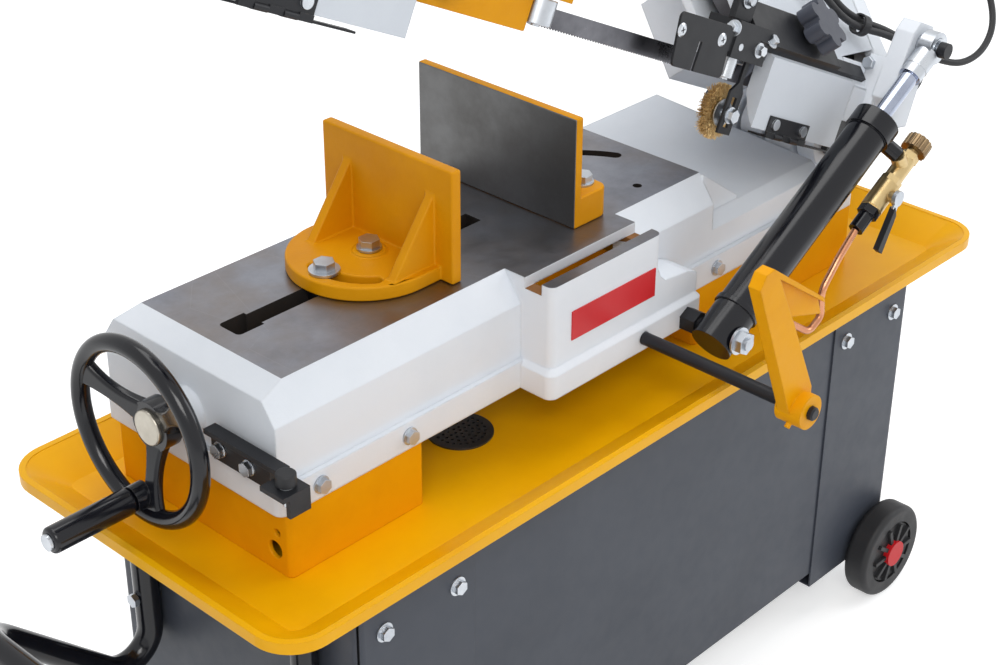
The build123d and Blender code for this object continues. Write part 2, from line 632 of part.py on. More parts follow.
# vise: movable jaw on its carriage
MOV_Z = TABLE_Z + FOOT_GAP
mov = bx(MOV_BACK, MOV_BACK + MOV_T, MOV_Y0, MOV_Y1, MOV_Z, MOV_TOP)
round_foot = Pos(FOOT_X, FOOT_Y, MOV_Z) * extrude(Circle(FOOT_R), amount=FOOT_H)
round_foot = round_foot - bx(FOOT_X, FOOT_X + 200, FOOT_Y - 150, FOOT_Y + 150, TABLE_Z - 1, TABLE_Z + 40)
square_foot = bx(FOOT_X - 1, MOV_BACK + 1, FOOT_Y - FOOT_R, FOOT_Y + FOOT_R, MOV_Z, MOV_Z + FOOT_H)
mov = mov + round_foot + square_foot
mov_gusset = [(MOV_BACK + 1, FOOT_TOP), (-236, FOOT_TOP), (MOV_BACK + 1, 693)]
for y in (-20, 95):
    mov = mov + xz(mov_gusset, y, y + 11)
mov = mov + rod((MOV_PIVOT_X, VISE_Y, TABLE_Z + FOOT_H - 1), (MOV_PIVOT_X, VISE_Y, TABLE_Z + FOOT_H + 3), 17)
mov = mov - rod((MOV_PIVOT_X, VISE_Y, TABLE_Z - 5), (MOV_PIVOT_X, VISE_Y, TABLE_Z + 40), BOLT12_R + 0.1)
ARC2_R = MOV_PIVOT_X - MOV_BOLT_X
sweep_slot = Pos(MOV_PIVOT_X, VISE_Y, TABLE_Z - 5) * extrude(
    SlotArc(CenterArc((0, 0), ARC2_R, 165, 67), ARC_SLOT), amount=40)
mov = mov - sweep_slot
save("movable_jaw", mov)
CAR_X0 = MOV_BOLT_X - 13
CAR_X1 = MOV_PIVOT_X + 14
carriage = bx(CAR_X0, CAR_X1, VISE_Y - slot_half + 0.3, VISE_Y + slot_half - 0.3, 560, TABLE_Z - 0.3)
carriage = carriage + bx(CAR_X0, CAR_X1, VISE_Y - 25, VISE_Y + 25, 556, TABLE_Z - TABLE_T - 0.4)
carriage = carriage + bx(CAR_X0 + 19, CAR_X1 - 21, VISE_Y - 20, VISE_Y + 20, SCREW_Z - 20, 560)
carriage = carriage - rod((-300, VISE_Y, SCREW_Z), (-150, VISE_Y, SCREW_Z), SCREW_R + SCREW_GAP)
for x in (MOV_PIVOT_X, MOV_BOLT_X):
    carriage = carriage - rod((x, VISE_Y, 565), (x, VISE_Y, TABLE_Z + 5), BOLT12_R)
save("vise_carriage", carriage)
vise_bolts = []
for x, lift, wide, thick in ((MOV_PIVOT_X, 3.6, WASHER12_R, WASHER12_T), (MOV_BOLT_X, 0.6, 15.5, 3)):
    at = (x, VISE_Y, TABLE_Z + FOOT_H + lift)
    long = FOOT_H + lift + 34.4
    vise_bolts.append(bolt(at, (0, 0, 1), long, BOLT12_R, BOLT12_FLATS, BOLT12_HEAD, wide, thick))
save("vise_bolts", Compound(children=vise_bolts))

# vise screw, dished handwheel and crank grip
lead = rod((HUB_X0, VISE_Y, SCREW_Z), (-40, VISE_Y, SCREW_Z), SCREW_R)
lead = lead + rod((BED_X0 - 6.4, VISE_Y, SCREW_Z), (HUB_X1, VISE_Y, SCREW_Z), 17)
wheel_rim = Solid.make_torus(HW_R - HW_RIM, HW_RIM, Plane(origin=(HW_X, VISE_Y, SCREW_Z), z_dir=(1, 0, 0)))


def spoke(angle):
    # broad at the hub, narrow half way, flared into the rim
    c = math.radians(angle)
    d = (0, math.cos(c), math.sin(c))
    faces = []
    cuts = [(14, HUB_X0 + 9, 30, 14), (48, HW_X + 9, 18, 11), (HW_R - HW_RIM, HW_X, 34, 11)]
    for r, x, wide, thick in cuts:
        at = (x, VISE_Y + r * d[1], SCREW_Z + r * d[2])
        faces.append(Plane(origin=at, x_dir=(1, 0, 0), z_dir=d) * RectangleRounded(thick, wide, 4))
    return loft(faces)


wheel_bits = [wheel_rim]
for a in (24, 144, -96):
    wheel_bits.append(spoke(a))
gy = VISE_Y + GRIP_AT * math.cos(math.radians(GRIP_ANGLE))
gz = SCREW_Z + GRIP_AT * math.sin(math.radians(GRIP_ANGLE))
BOSS_X = HW_X - 14
wheel_bits.append(rod((BOSS_X, gy, gz), (HW_X + 2, gy, gz), 13))
hw = rod((HUB_X0, VISE_Y, SCREW_Z), (HUB_X1, VISE_Y, SCREW_Z), 25)
hw = hw.fuse(*wheel_bits)
hw = hw - rod((HUB_X0 - 60, VISE_Y, SCREW_Z), (HUB_X1 + 60, VISE_Y, SCREW_Z), SCREW_R)
cap = rod((HUB_X0 - 4, VISE_Y, SCREW_Z), (HUB_X0, VISE_Y, SCREW_Z), 18)
cap = fillet(cap.edges().filter_by(GeomType.CIRCLE).group_by(Axis.X)[0], 2)
save("vise_screw", Compound(children=[lead, cap]))
CRANK_R = 5.0
GRIP_X = BOSS_X - 89
pin = rod((BOSS_X, gy, gz), (GRIP_X - 2, gy, gz), CRANK_R)
pin = pin + rod((GRIP_X - 1, gy, gz), (GRIP_X - 4, gy, gz), 8)
save("handwheel", Compound(children=[hw, pin]))
grip = rod((BOSS_X - 0.3, gy, gz), (GRIP_X - 0.7, gy, gz), 13)
grip = fillet(grip.edges().filter_by(GeomType.CIRCLE), 4)
grip = grip - rod((BOSS_X + 5, gy, gz), (GRIP_X - 8, gy, gz), CRANK_R + 0.08)
save("crank_grip", grip)

# material stop
rod_stop = rod((STOP_X, -338, STOP_Z), (STOP_X, -58, STOP_Z), STOP_R)
rod_stop = chamfer(rod_stop.edges().filter_by(GeomType.CIRCLE), 1.5)
save("stop_rod", rod_stop)
blade = [(-66, 655), (-58, 668), (-46, 670), (-38, 660), (-8, 600), (33, 512), (33, STOP_Z),
         (STOP_X - 18, STOP_Z)]
arm = xz(blade, -320, -306)
arm = arm + xz([(-46, 670), (40, 607), (49, 583), (-8, 602)], -312, -306)
arm = arm + xz([(-52, 669), (-46, 670), (40, 607), (42, 601), (-46, 663)], -320, -306)
arm = arm + rod((STOP_X, -332, STOP_Z), (STOP_X, -302, STOP_Z), 18)
arm = arm - rod((STOP_X, -350, STOP_Z), (STOP_X, -290, STOP_Z), STOP_R + 0.08)
DOG = 0.7071
dog = rod((STOP_X - 7.6 * DOG, -317, STOP_Z - 7.6 * DOG), (STOP_X - 23 * DOG, -317, STOP_Z - 23 * DOG), 3)
arm = arm - rod((STOP_X, -317, STOP_Z), (STOP_X - 30 * DOG, -317, STOP_Z - 30 * DOG), 3.05)
save("stop_arm", Compound(children=[arm, dog]))

# bow casting
outline = [(BOW_X0, 40), (-402, 40), (-322, 150), (-300, BEAM_S0), (140, BEAM_S0), (152, 150), (163, 40),
           (330, 40), (345, 4), (BOW_X1, 4), (BOW_X1, BEAM_S1), (BOW_X0, BEAM_S1)]
G_Y0 = -114.0
G_Y1 = -104.0
frame = wpoly(outline, PLATE_W0, PLATE_W1)
frame = frame + wbox(BOW_X0, BOW_X0 + RIM_T, 40, BEAM_S1, PLATE_W0, RIB_W)
frame = frame + wbox(BOW_X1 - RIM_T, BOW_X1, -3, BEAM_S1, PLATE_W0 + 14, COVER_W)
frame = frame + wbox(BOW_X1 - RIM_T, BOW_X1, 40, BEAM_S1, PLATE_W0, COVER_W - 2)
frame = frame + wbox(BOW_X0, BOW_X1, BEAM_S1 - RIM_T, BEAM_S1, PLATE_W0, RIB_W)
frame = frame + wbox(-300, 140, BEAM_S0, BEAM_S0 + RIM_T, PLATE_W0, RIB_W)
for x in (-300, -150, 0, 132):
    frame = frame + wbox(x, x + 8, BEAM_S0, BEAM_S1, PLATE_W0, RIB_W)
# cheek in front of the drive wheel's right edge, and the shoulder below it
cheek = [(330, -3), (BOW_X1, -3), (BOW_X1, BEAM_S1), (BOW_X1 - 10, BEAM_S1), (424, 190), (424, 60),
         (400, 34), (330, 34)]
frame = frame + wpoly(cheek, 26, COVER_W)
frame = frame + bx(330, BOW_X1, SKIRT_Y0, -106, 592, 631)
frame = frame + wbox(BOW_X0, BOW_X0 + RIM_T, -3, 44, 8, RIB_W)
# lug for the cylinder
LUG_GAP = 14.0
COS_LIFT = math.cos(math.radians(LIFT))
SIN_LIFT = math.sin(math.radians(LIFT))
LUG_X = PIVOT_X + (EYE_X - PIVOT_X) * COS_LIFT - (EYE_Z - PIVOT_Z) * SIN_LIFT
LUG_Z = PIVOT_Z + (EYE_X - PIVOT_X) * SIN_LIFT + (EYE_Z - PIVOT_Z) * COS_LIFT
lug = xz([(LUG_X - 26, 628), (LUG_X - 22, LUG_Z + 8), (LUG_X - 14, LUG_Z + 22), (LUG_X + 14, LUG_Z + 22),
          (LUG_X + 24, LUG_Z + 8), (LUG_X + 30, 606), (LUG_X + 6, 600)], CYL_Y + LUG_GAP, -131)
lug = lug + bx(LUG_X - 24, LUG_X + 30, -133, -112, 602, 672)
frame = frame + lug
# hinge arms below the plate
ARM_A = (-60.0, -36.0)
ARM_B = (14.0, 46.0)
for a0, a1 in (ARM_A, ARM_B):
    z_top = TEETH_Z + BLADE_W / 2 + (a0 + a1) / 2 - BLADE_Y + math.sqrt(2) * PLATE_W0 + 6
    web_line = [(PIVOT_X - 29, PIVOT_Z), (PIVOT_X - 29, z_top - 6), (BOW_X1, z_top - 6), (BOW_X1, PIVOT_Z)]
    web = xz(web_line, a0, a1)
    web = web + rod((PIVOT_X, a0, PIVOT_Z), (PIVOT_X, a1, PIVOT_Z), 30)
    cut = wbox(200, 500, -100, 500, PLATE_W1 - 2, 300)
    frame = frame + (web - cut)
frame = frame - rod((PIVOT_X, -100, PIVOT_Z), (PIVOT_X, 140, PIVOT_Z), SHAFT_R + SHAFT_GAP)
# post that carries the left guide arm, in front of the idler wheel
POST_X0 = KNOB_L - 19
POST_X1 = KNOB_L + 19
frame = frame + wbox(POST_X0, POST_X1, 22, BEAM_S1, 17, 33)
frame = frame + bx(POST_X0, POST_X1, G_Y1 + 0.3, -98.5, KNOB_Z - 10, KNOB_Z + 28)
# openings for the drive shaft and the tension slide, and the eye bolt
frame = frame - wrod(DRIVE_X, RIM_R, PLATE_W0 - 5, PLATE_W1 + 5, 24)
frame = frame - wbox(IDLER_X - 36, IDLER_X + 48, RIM_R - 22, RIM_R + 22, PLATE_W0 - 5, PLATE_W1 + 5)
EYE_BOLT_R = 6.0
frame = frame - rod((LUG_X, -200, LUG_Z), (LUG_X, -100, LUG_Z), EYE_BOLT_R + 0.1)
# rails of the tension slide, keeper of its screw and the channel round the band's upper run
TS = RIM_R
keep = wbox(IDLER_X - 74, IDLER_X - 62, TS - 34, TS + 34, PLATE_W0 - 26, PLATE_W0)
keep = keep - rod(wpt(IDLER_X - 80, TS, PLATE_W0 - 12), wpt(IDLER_X - 50, TS, PLATE_W0 - 12), 6.1)
frame = frame + keep
frame = frame + wbox(IDLER_X - 39, IDLER_X + 60, TS + 40.3, TS + 50, PLATE_W0 - 22, PLATE_W0)
frame = frame + wbox(IDLER_X - 39, IDLER_X + 60, TS - 50, TS - 40.3, PLATE_W0 - 22, PLATE_W0)
frame = frame + wbox(-296, 136, CHANNEL_S, BEAM_S0, -CHANNEL_W, -CHANNEL_W + CHANNEL_T)
frame = frame + wbox(-296, 136, CHANNEL_S, BEAM_S0, CHANNEL_W - CHANNEL_T, CHANNEL_W)
frame = frame + wbox(-296, 136, CHANNEL_S, CHANNEL_S + CHANNEL_T, -CHANNEL_W, CHANNEL_W)
frame = frame - rod((KNOB_L, G_Y1 - 5, KNOB_Z), (KNOB_L, -100.2, KNOB_Z), KNOB_STUD_R + 0.1)
save("bow_frame", bow(frame))

# drive wheel with gearbox and motor
def band_wheel(x):
    body = wrod(x, RIM_R, -RIM_W / 2, RIM_W / 2, RIM_R)
    body = body - wrod(x, RIM_R, -RIM_W, -5, RIM_R - 12) - wrod(x, RIM_R, 5, RIM_W, RIM_R - 12)
    body = body + wrod(x, RIM_R, -RIM_W / 2 - 2, RIM_W / 2 + 2, 32)
    for i in range(5):
        a = math.radians(72 * i + 18)
        body = body - wrod(x + 78 * math.cos(a), RIM_R + 78 * math.sin(a), -20, 20, 24)
    return body


drive = band_wheel(DRIVE_X)
drive = drive - wrod(DRIVE_X, RIM_R, -40, 40, 14)
save("drive_wheel", bow(drive))
out_shaft = wrod(DRIVE_X, RIM_R, -128, 16, 14)
out_shaft = out_shaft + rod(wpt(DRIVE_X, RIM_R, 14), wpt(DRIVE_X, RIM_R, 22), 20)
gear = wrod(DRIVE_X, RIM_R, WORM_W - 14, WORM_W + 14, 36)
for i in range(30):
    a = math.radians(12 * i)
    gap_x = DRIVE_X + 37.5 * math.cos(a)
    gap_s = RIM_R + 37.5 * math.sin(a)
    gear = gear - wrod(gap_x, gap_s, WORM_W - 20, WORM_W + 20, 2.4)
gear = gear - wrod(DRIVE_X, RIM_R, WORM_W - 20, WORM_W + 20, 14)
save("drive_shaft", bow(Compound(children=[out_shaft, gear])))
box_out = wbox(256, 394, RIM_R - 46, RIM_R + 52, WORM_W - 34, PLATE_W0)
box_in = wbox(264, 386, RIM_R - 38, RIM_R + 44, WORM_W - 26, PLATE_W0 - 8)
gearbox = box_out - box_in
gearbox = gearbox + wrod(DRIVE_X, RIM_R, PLATE_W0 - 1, PLATE_W1, 23.9)
gearbox = gearbox - wrod(DRIVE_X, RIM_R, -132, PLATE_W1 + 5, 14.1)
gearbox = gearbox - rod(wpt(WORM_X, RIM_R + 30, WORM_W), wpt(WORM_X, RIM_R + 80, WORM_W), 20)
gearbox = gearbox - rod(wpt(WORM_X, RIM_R - 43, WORM_W), wpt(WORM_X, RIM_R - 30, WORM_W), 8.1)
save("gearbox", bow(gearbox))
worm = rod(wpt(WORM_X, RIM_R - 42, WORM_W), wpt(WORM_X, RIM_R + 262, WORM_W), 8)
worm = worm + rod(wpt(WORM_X, RIM_R - 26, WORM_W), wpt(WORM_X, RIM_R + 26, WORM_W), 12)
worm = worm + rod(wpt(WORM_X, RIM_R + 90, WORM_W), wpt(WORM_X, RIM_R + 200, WORM_W), 34)
for i in range(6):
    fan_blade = wbox(WORM_X - 42, WORM_X + 42, RIM_R + 240, RIM_R + 252, WORM_W - 1.5, WORM_W + 1.5)
    turn = Plane(origin=wpt(WORM_X, RIM_R, WORM_W), z_dir=wvec(0, 1, 0))
    spin = turn.location * Rot(0, 0, 30 * i) * turn.location.inverse()
    worm = worm + spin * fan_blade
save("worm_rotor", bow(worm))
M0 = RIM_R + 52
motor = rod(wpt(WORM_X, M0, WORM_W), wpt(WORM_X, M0 + 14, WORM_W), 62)
motor = motor + rod(wpt(WORM_X, M0 + 10, WORM_W), wpt(WORM_X, M0 + 160, WORM_W), 50)
for i in range(18):
    fin = wbox(WORM_X + 46, WORM_X + 60, M0 + 20, M0 + 150, WORM_W - 1.5, WORM_W + 1.5)
    turn = Plane(origin=wpt(WORM_X, M0, WORM_W), z_dir=wvec(0, 1, 0))
    spin = turn.location * Rot(0, 0, 20 * i) * turn.location.inverse()
    motor = motor + spin * fin
motor = motor + rod(wpt(WORM_X, M0 + 150, WORM_W), wpt(WORM_X, M0 + 215, WORM_W), 58)
motor = motor - rod(wpt(WORM_X, M0 + 168, WORM_W), wpt(WORM_X, M0 + 212, WORM_W), 54)
motor = motor - rod(wpt(WORM_X, M0 + 24, WORM_W), wpt(WORM_X, M0 + 160, WORM_W), 36)
motor = motor - rod(wpt(WORM_X, M0 - 5, WORM_W), wpt(WORM_X, M0 + 170, WORM_W), 9)
for i in range(10):
    a = math.radians(36 * i)
    px = WORM_X + 36 * math.cos(a)
    pw = WORM_W + 36 * math.sin(a)
    motor = motor - rod(wpt(px, M0 + 205, pw), wpt(px, M0 + 220, pw), 6)
TB0 = WORM_X + 52
terminal = wbox(TB0, TB0 + 42, M0 + 45, M0 + 125, WORM_W - 32, WORM_W + 32)
motor = motor + terminal
save("motor", bow(motor))

# idler wheel on the tension slide
idler = band_wheel(IDLER_X)
idler = idler - wrod(IDLER_X, RIM_R, -40, 40, 14.06)
save("idler_wheel", bow(idler))
slide = wbox(IDLER_X - 28, IDLER_X + 28, TS - 21.7, TS + 21.7, PLATE_W0 - 6, PLATE_W1 + 4)
slide = slide + wbox(IDLER_X - 40, IDLER_X + 40, TS - 40, TS + 40, PLATE_W0 - 22, PLATE_W0 - 0.3)
slide = slide + wrod(IDLER_X, TS, PLATE_W1, 24, 14)
slide = slide + wrod(IDLER_X, TS, 16, 24, 19)
slide = slide - rod(wpt(IDLER_X - 60, TS, PLATE_W0 - 12), wpt(IDLER_X + 20, TS, PLATE_W0 - 12), 6.1)
save("tension_slide", bow(slide))
tscrew = rod(wpt(IDLER_X - 190, TS, PLATE_W0 - 12), wpt(IDLER_X + 12, TS, PLATE_W0 - 12), 6)
tscrew = tscrew + rod(wpt(IDLER_X - 84, TS, PLATE_W0 - 12), wpt(IDLER_X - 74.3, TS, PLATE_W0 - 12), 12)
tk = rod(wpt(IDLER_X - 200, TS, PLATE_W0 - 12), wpt(IDLER_X - 176, TS, PLATE_W0 - 12), 26)
for i in range(5):
    a = math.radians(72 * i)
    ps = TS + 24 * math.cos(a)
    pw = PLATE_W0 - 12 + 24 * math.sin(a)
    tk = tk + rod(wpt(IDLER_X - 200, ps, pw), wpt(IDLER_X - 176, ps, pw), 10)
tscrew = tscrew + tk
save("tension_knob", bow(tscrew))

# saw band
BAND_IN = RIM_R + 0.3
ring = []
half_w = BLADE_W / 2
for x in (IDLER_X, DRIVE_X):
    loop = wrod(x, RIM_R, -half_w, half_w, BAND_IN + BLADE_T)
    loop = loop - wrod(x, RIM_R, -half_w - 1, half_w + 1, BAND_IN)
    if x == DRIVE_X:
        loop = loop - wbox(x - 300, x, -50, 400, -50, 50)
    else:
        loop = loop - wbox(x, x + 300, -50, 400, -50, 50)
    ring.append(loop)
band = ring[0] + ring[1]
top_s = RIM_R + BAND_IN
band = band + wbox(IDLER_X, DRIVE_X, top_s, top_s + BLADE_T, -half_w, half_w)
low_s = RIM_R - BAND_IN - BLADE_T


def band_face(x, angle):
    # angle 0: lying on the wheel, 45: upright between the guides
    part = angle / TILT
    c = Vector(*wpt(x, low_s + BLADE_T / 2, 0)) * (1 - part) + Vector(x, BLADE_Y, TEETH_Z + half_w) * part
    a = math.radians(TILT - angle)
    up = Vector(0, -math.sin(a), math.cos(a))
    plane = Plane(origin=tuple(c), x_dir=tuple(up), z_dir=(1, 0, 0))
    return plane * Rectangle(BLADE_W, BLADE_T)


GUIDE_L = -349.0
GUIDE_R = 122.0
FLAT_L = IDLER_X + 26
left_run = [band_face(IDLER_X, 0)]
left_run = left_run + [band_face(FLAT_L + (GUIDE_L - FLAT_L) * i / 6, TILT * i / 6) for i in range(7)]
right_run = [band_face(GUIDE_R + (DRIVE_X - GUIDE_R) * i / 6, TILT * (6 - i) / 6) for i in range(7)]
band = band + loft(left_run, ruled=True) + loft(right_run, ruled=True)
TOOTH = 4.2
count = int((GUIDE_R - GUIDE_L) / TOOTH)
pts = [(GUIDE_L, TEETH_Z + BLADE_W), (GUIDE_L, TEETH_Z + 1.7)]
for i in range(count):
    x = GUIDE_L + (GUIDE_R - GUIDE_L) * i / count
    pts.append((x + 0.25 * TOOTH, TEETH_Z + 1.7))
    pts.append((x + 0.95 * TOOTH, TEETH_Z))
pts.append((GUIDE_R, TEETH_Z + 1.7))
pts.append((GUIDE_R, TEETH_Z + BLADE_W))
band = band + xz(pts, BLADE_Y - BLADE_T / 2, BLADE_Y + BLADE_T / 2)
save("saw_band", bow(band))

# sheet covers in front of the wheels
def cover(x0, x1, x1_top, z0):
    y = SKIRT_Y0
    t = SKIRT_T
    a = Vector(*wpt(0, -1, COVER_W))
    front = bx(x0, x1, y, y + t, z0, a.Z + 2)
    line = [(x0, -1), (x1, -1), (x1, 34), (x1_top, 60), (x1_top, BEAM_S1 + 2), (x0, BEAM_S1 + 2)]
    slope = wpoly(line, COVER_W - t, COVER_W)
    return front + slope


COVER_Z = 560.0
cover_right = cover(155, 328, 420, COVER_Z)
side_wall = [
    (SKIRT_Y0, COVER_Z),
    (-112, COVER_Z + 12),
    (-102, 594),
    (-102, 622),
    (-84, 642),
    wpt(0, 60, 14)[1:],
    wpt(0, 150, 14)[1:],
    wpt(0, 150, COVER_W - 1)[1:],
    wpt(0, 0, COVER_W - 1)[1:],
    (SKIRT_Y0, 632),
]
cover_right = cover_right + yz(side_wall, 155, 155 + SKIRT_T)
HINGE_R = 3.0
HINGE_PIN_R = 1.5
HINGE_Y = SKIRT_Y0 - 1.2
HINGE_Z = COVER_Z - 4
save("cover_right", bow(cover_right))
cover_left = cover(BOW_X0 - 2, -391, -391, COVER_Z)


def hinge_leaf(x0, x1):
    leaf = bx(x0, x1, SKIRT_Y0 - 2, SKIRT_Y0, COVER_Z - 1, COVER_Z + 17)
    for i in range(3):
        w = (x1 - x0) / 5
        a = x0 + 2 * i * w
        knuckle = bx(a + 0.2, a + w - 0.2, SKIRT_Y0 - 3.2, SKIRT_Y0, HINGE_Z - 2.4, COVER_Z)
        knuckle = knuckle - rod((a - 5, HINGE_Y, HINGE_Z), (a + w + 5, HINGE_Y, HINGE_Z), HINGE_PIN_R + 0.05)
        leaf = leaf + knuckle
    for x in (x0 + 12, x1 - 12):
        leaf = leaf + rod((x, SKIRT_Y0 - 2, COVER_Z + 9), (x, SKIRT_Y0 - 4.5, COVER_Z + 9), 6)
    return leaf


save("cover_left", bow(Compound(children=[cover_left, hinge_leaf(-580, -500)])))


def hinge_base(x0, x1):
    w = (x1 - x0) / 5
    base = rod((x0, HINGE_Y, HINGE_Z), (x1, HINGE_Y, HINGE_Z), HINGE_PIN_R)
    for i in range(2):
        a = x0 + (2 * i + 1) * w
        base = base + rod((a + 0.2, HINGE_Y, HINGE_Z), (a + w - 0.2, HINGE_Y, HINGE_Z), HINGE_R)
        base = base + bx(a + 0.2, a + w - 0.2, HINGE_Y, -104, HINGE_Z - 3, HINGE_Z - 1)
    base = base + bx(x0, x1, -114, -102, HINGE_Z - 3, HINGE_Z - 1)
    return base


base_left = hinge_base(-580, -500)
base_left = base_left + bx(-589, -440, -114, -102, HINGE_Z - 3, HINGE_Z - 1)
base_left = base_left + bx(-589, -586, -114, -102, HINGE_Z - 3, 626)
base_right = hinge_base(183, 264)
base_right = base_right + bx(183, 440, -114, -102, 553, 555) + bx(332, 440, -114, -106.2, 553, 592)
save("cover_hinges", bow(Compound(children=[base_left, base_right, hinge_leaf(183, 264)])))

# left guide arm with its bearings
arm_l = xz([(-482, 591), (-236, 591), (-236, 650), (-316, 650), (-346, 633), (-482, 633)], G_Y0, G_Y1)
arm_l = fillet(arm_l.edges().filter_by(Axis.Y), 5)
arm_l = arm_l - bx(KNOB_L - 76, KNOB_L + 101, G_Y0 - 5, G_Y1 + 5, KNOB_Z - 5.3, KNOB_Z + 5.3)
head = bx(-246, -196, -126, -64, 626, 662)
head = fillet(head.edges().filter_by(Axis.Z), 5)
head = head - bx(-300, -100, -96, -90, 620, 640)
arm_l = arm_l + head
BRG_R = 15.0
brg_f = BLADE_Y - BLADE_T / 2 - 0.2 - BRG_R
brg_b = BLADE_Y + BLADE_T / 2 + 0.2 + BRG_R
for y in (brg_f, brg_b):
    arm_l = arm_l - rod((-221, y, 500), (-221, y, 640), 5.0)
arm_l = arm_l - bx(-238, -204, -130, G_Y1 + 1, 500, 625.5)
save("guide_arm_left", bow(arm_l))


def bearing_pair(x, r, z0, z1, pin_top):
    group = []
    for y in (BLADE_Y - BLADE_T / 2 - 0.2 - r, BLADE_Y + BLADE_T / 2 + 0.2 + r):
        body = rod((x, y, z0), (x, y, z1), r)
        body = fillet(body.edges().filter_by(GeomType.CIRCLE), 1)
        body = body + rod((x, y, z0 - 2), (x, y, pin_top), 5.0)
        group.append(body)
    return Compound(children=group)


save("guide_bearings_left", bow(bearing_pair(-221, BRG_R, 600, 624, 640)))


def lobed(center, out, r, deep, stud, stud_r):
    o = Vector(*out)
    plane = Plane(origin=center, z_dir=out)
    body = Solid.make_cylinder(r * 0.72, deep, plane)
    for i in range(6):
        a = math.radians(60 * i)
        p = plane.from_local_coords((r * 0.72 * math.cos(a), r * 0.72 * math.sin(a), 0))
        body = body + Solid.make_cylinder(r * 0.3, deep, Plane(origin=p, z_dir=out))
    body = body + rod(tuple(Vector(*center) - o * stud), center, stud_r)
    return body


knob_left = lobed((KNOB_L, G_Y0 - 0.4, KNOB_Z), (0, -1, 0), 20, 16, G_Y1 - G_Y0 + 3.4, KNOB_STUD_R)
save("guide_knob_left", bow(knob_left))

# right guide: bracket on the slope, hood over the bearings, front plate with a sighting notch
CARRIER_Z = 622.0
rail = wbox(118, 285, 5, 58, COVER_W, COVER_W + 12) + wbox(280, 352, 5, 22, COVER_W, COVER_W + 6)
carrier = bx(72, 134, -124, -112, CARRIER_Z, 660)
hood = bx(88, 126, -124, -74, 626, 660) - bx(60, 150, -96, -90, 620, 640)
right_bracket = rail + carrier + hood
BR2 = 9.0
for y in (BLADE_Y - BLADE_T / 2 - 0.2 - BR2, BLADE_Y + BLADE_T / 2 + 0.2 + BR2):
    right_bracket = right_bracket - rod((104, y, 590), (104, y, 640), 5.0)
right_bracket = right_bracket - bx(92, 116, -114, -60, 590, 625.5)
right_bracket = right_bracket - wrod(KNOB_R_X, KNOB_R_S, COVER_W - 5, COVER_W + 30, KNOB_STUD_R + 0.1)
PLATE_Y = -122.0
PLATE_T = 2.7
NOTCH_X = 18.0
plate = xz([(-28, 651), (64, 652), (72, 599), (-17, 598)], PLATE_Y, PLATE_Y + PLATE_T)
plate = fillet(plate.edges().filter_by(Axis.Y), 6)
plate = plate - bx(NOTCH_X - 2.5, NOTCH_X + 2.5, PLATE_Y - 5, PLATE_Y + 10, 590, 628)
plate = plate + bx(56, 72, PLATE_Y, -113, 627, 648)
for x, z in ((-19, 633.6), (52, 636)):
    plate = plate + cone((x, PLATE_Y, z), (x, PLATE_Y - 1.4, z), 7, 5)
rollers = bearing_pair(104, BR2, 601, 624, 640)
save("guide_bracket_right", bow(Compound(children=[right_bracket, plate] + list(rollers.solids()))))
knob_right = lobed(wpt(KNOB_R_X, KNOB_R_S, COVER_W + 18), wvec(0, 0, 1), 30, 20, 18, KNOB_STUD_R)
save("guide_knob_right", bow(knob_right))

# wire brush under the band with its slotted bracket
hub = rod((BRUSH_X, BLADE_Y - 6, BRUSH_Z), (BRUSH_X, BLADE_Y + 6, BRUSH_Z), 14)
strands = []
ROWS = 5
PER = 72
for j in range(ROWS):
    y = BLADE_Y - 4.6 + 2.3 * j
    for i in range(PER):
        a = 360.0 / PER * (i + 0.5 * (j % 2))
        lean = 2.0 * math.sin(7 * i + 3 * j)
        tip = BRUSH_R - 1.2 * abs(math.sin(5 * i + 2 * j))
        length = tip - 12.5
        strand = Pos(BRUSH_X, y, BRUSH_Z) * Rot(0, a, 0) * Pos(12.5, 0, 0) * Rot(0, lean, 0)
        strand = strand * Pos(length / 2, 0, 0) * Box(length, 0.8, 0.55)
        strands.append(strand)
brush = hub.fuse(*strands)
brush = brush - rod((BRUSH_X, BLADE_Y - 10, BRUSH_Z), (BRUSH_X, BLADE_Y + 10, BRUSH_Z), 4.08)
save("wire_brush", bow(brush))
flanges = rod((BRUSH_X, BLADE_Y - 6.2, BRUSH_Z), (BRUSH_X, BLADE_Y - 7.6, BRUSH_Z), 15)
flanges = flanges + rod((BRUSH_X, BLADE_Y - 7, BRUSH_Z), (BRUSH_X, BLADE_Y + 12, BRUSH_Z), 4)
flanges = flanges + rod((BRUSH_X, BLADE_Y + 6.2, BRUSH_Z), (BRUSH_X, BLADE_Y + 7.6, BRUSH_Z), 15)
flanges = flanges + hexbar((BRUSH_X, BLADE_Y + 7.6, BRUSH_Z), (BRUSH_X, BLADE_Y + 13, BRUSH_Z), 13)
flanges = flanges + rod((BRUSH_X, BLADE_Y - 19, BRUSH_Z), (BRUSH_X, BLADE_Y - 7, BRUSH_Z), 4)
flanges = flanges + rod((BRUSH_X, BLADE_Y - 16.2, BRUSH_Z), (BRUSH_X, BLADE_Y - 17.6, BRUSH_Z), 9)
flanges = flanges + hexbar((BRUSH_X, BLADE_Y - 17.6, BRUSH_Z), (BRUSH_X, BLADE_Y - 24, BRUSH_Z), 13)
strip = [(-11, 545), (12, 545), (12, 590), (6, 600), (6, 640), (-1, 640), (-1, 600), (-11, 590)]
slotted = xz([(BRUSH_X + x, z) for x, z in strip], -109, -106)
slotted = slotted - bx(BRUSH_X - 4.2, BRUSH_X + 4.2, -115, -100, 552, 584)
slotted = slotted + bx(BRUSH_X - 1, BRUSH_X + 6, -112, -106, CARRIER_Z + 1, 640)
save("brush_bracket", bow(Compound(children=[slotted, flanges])))

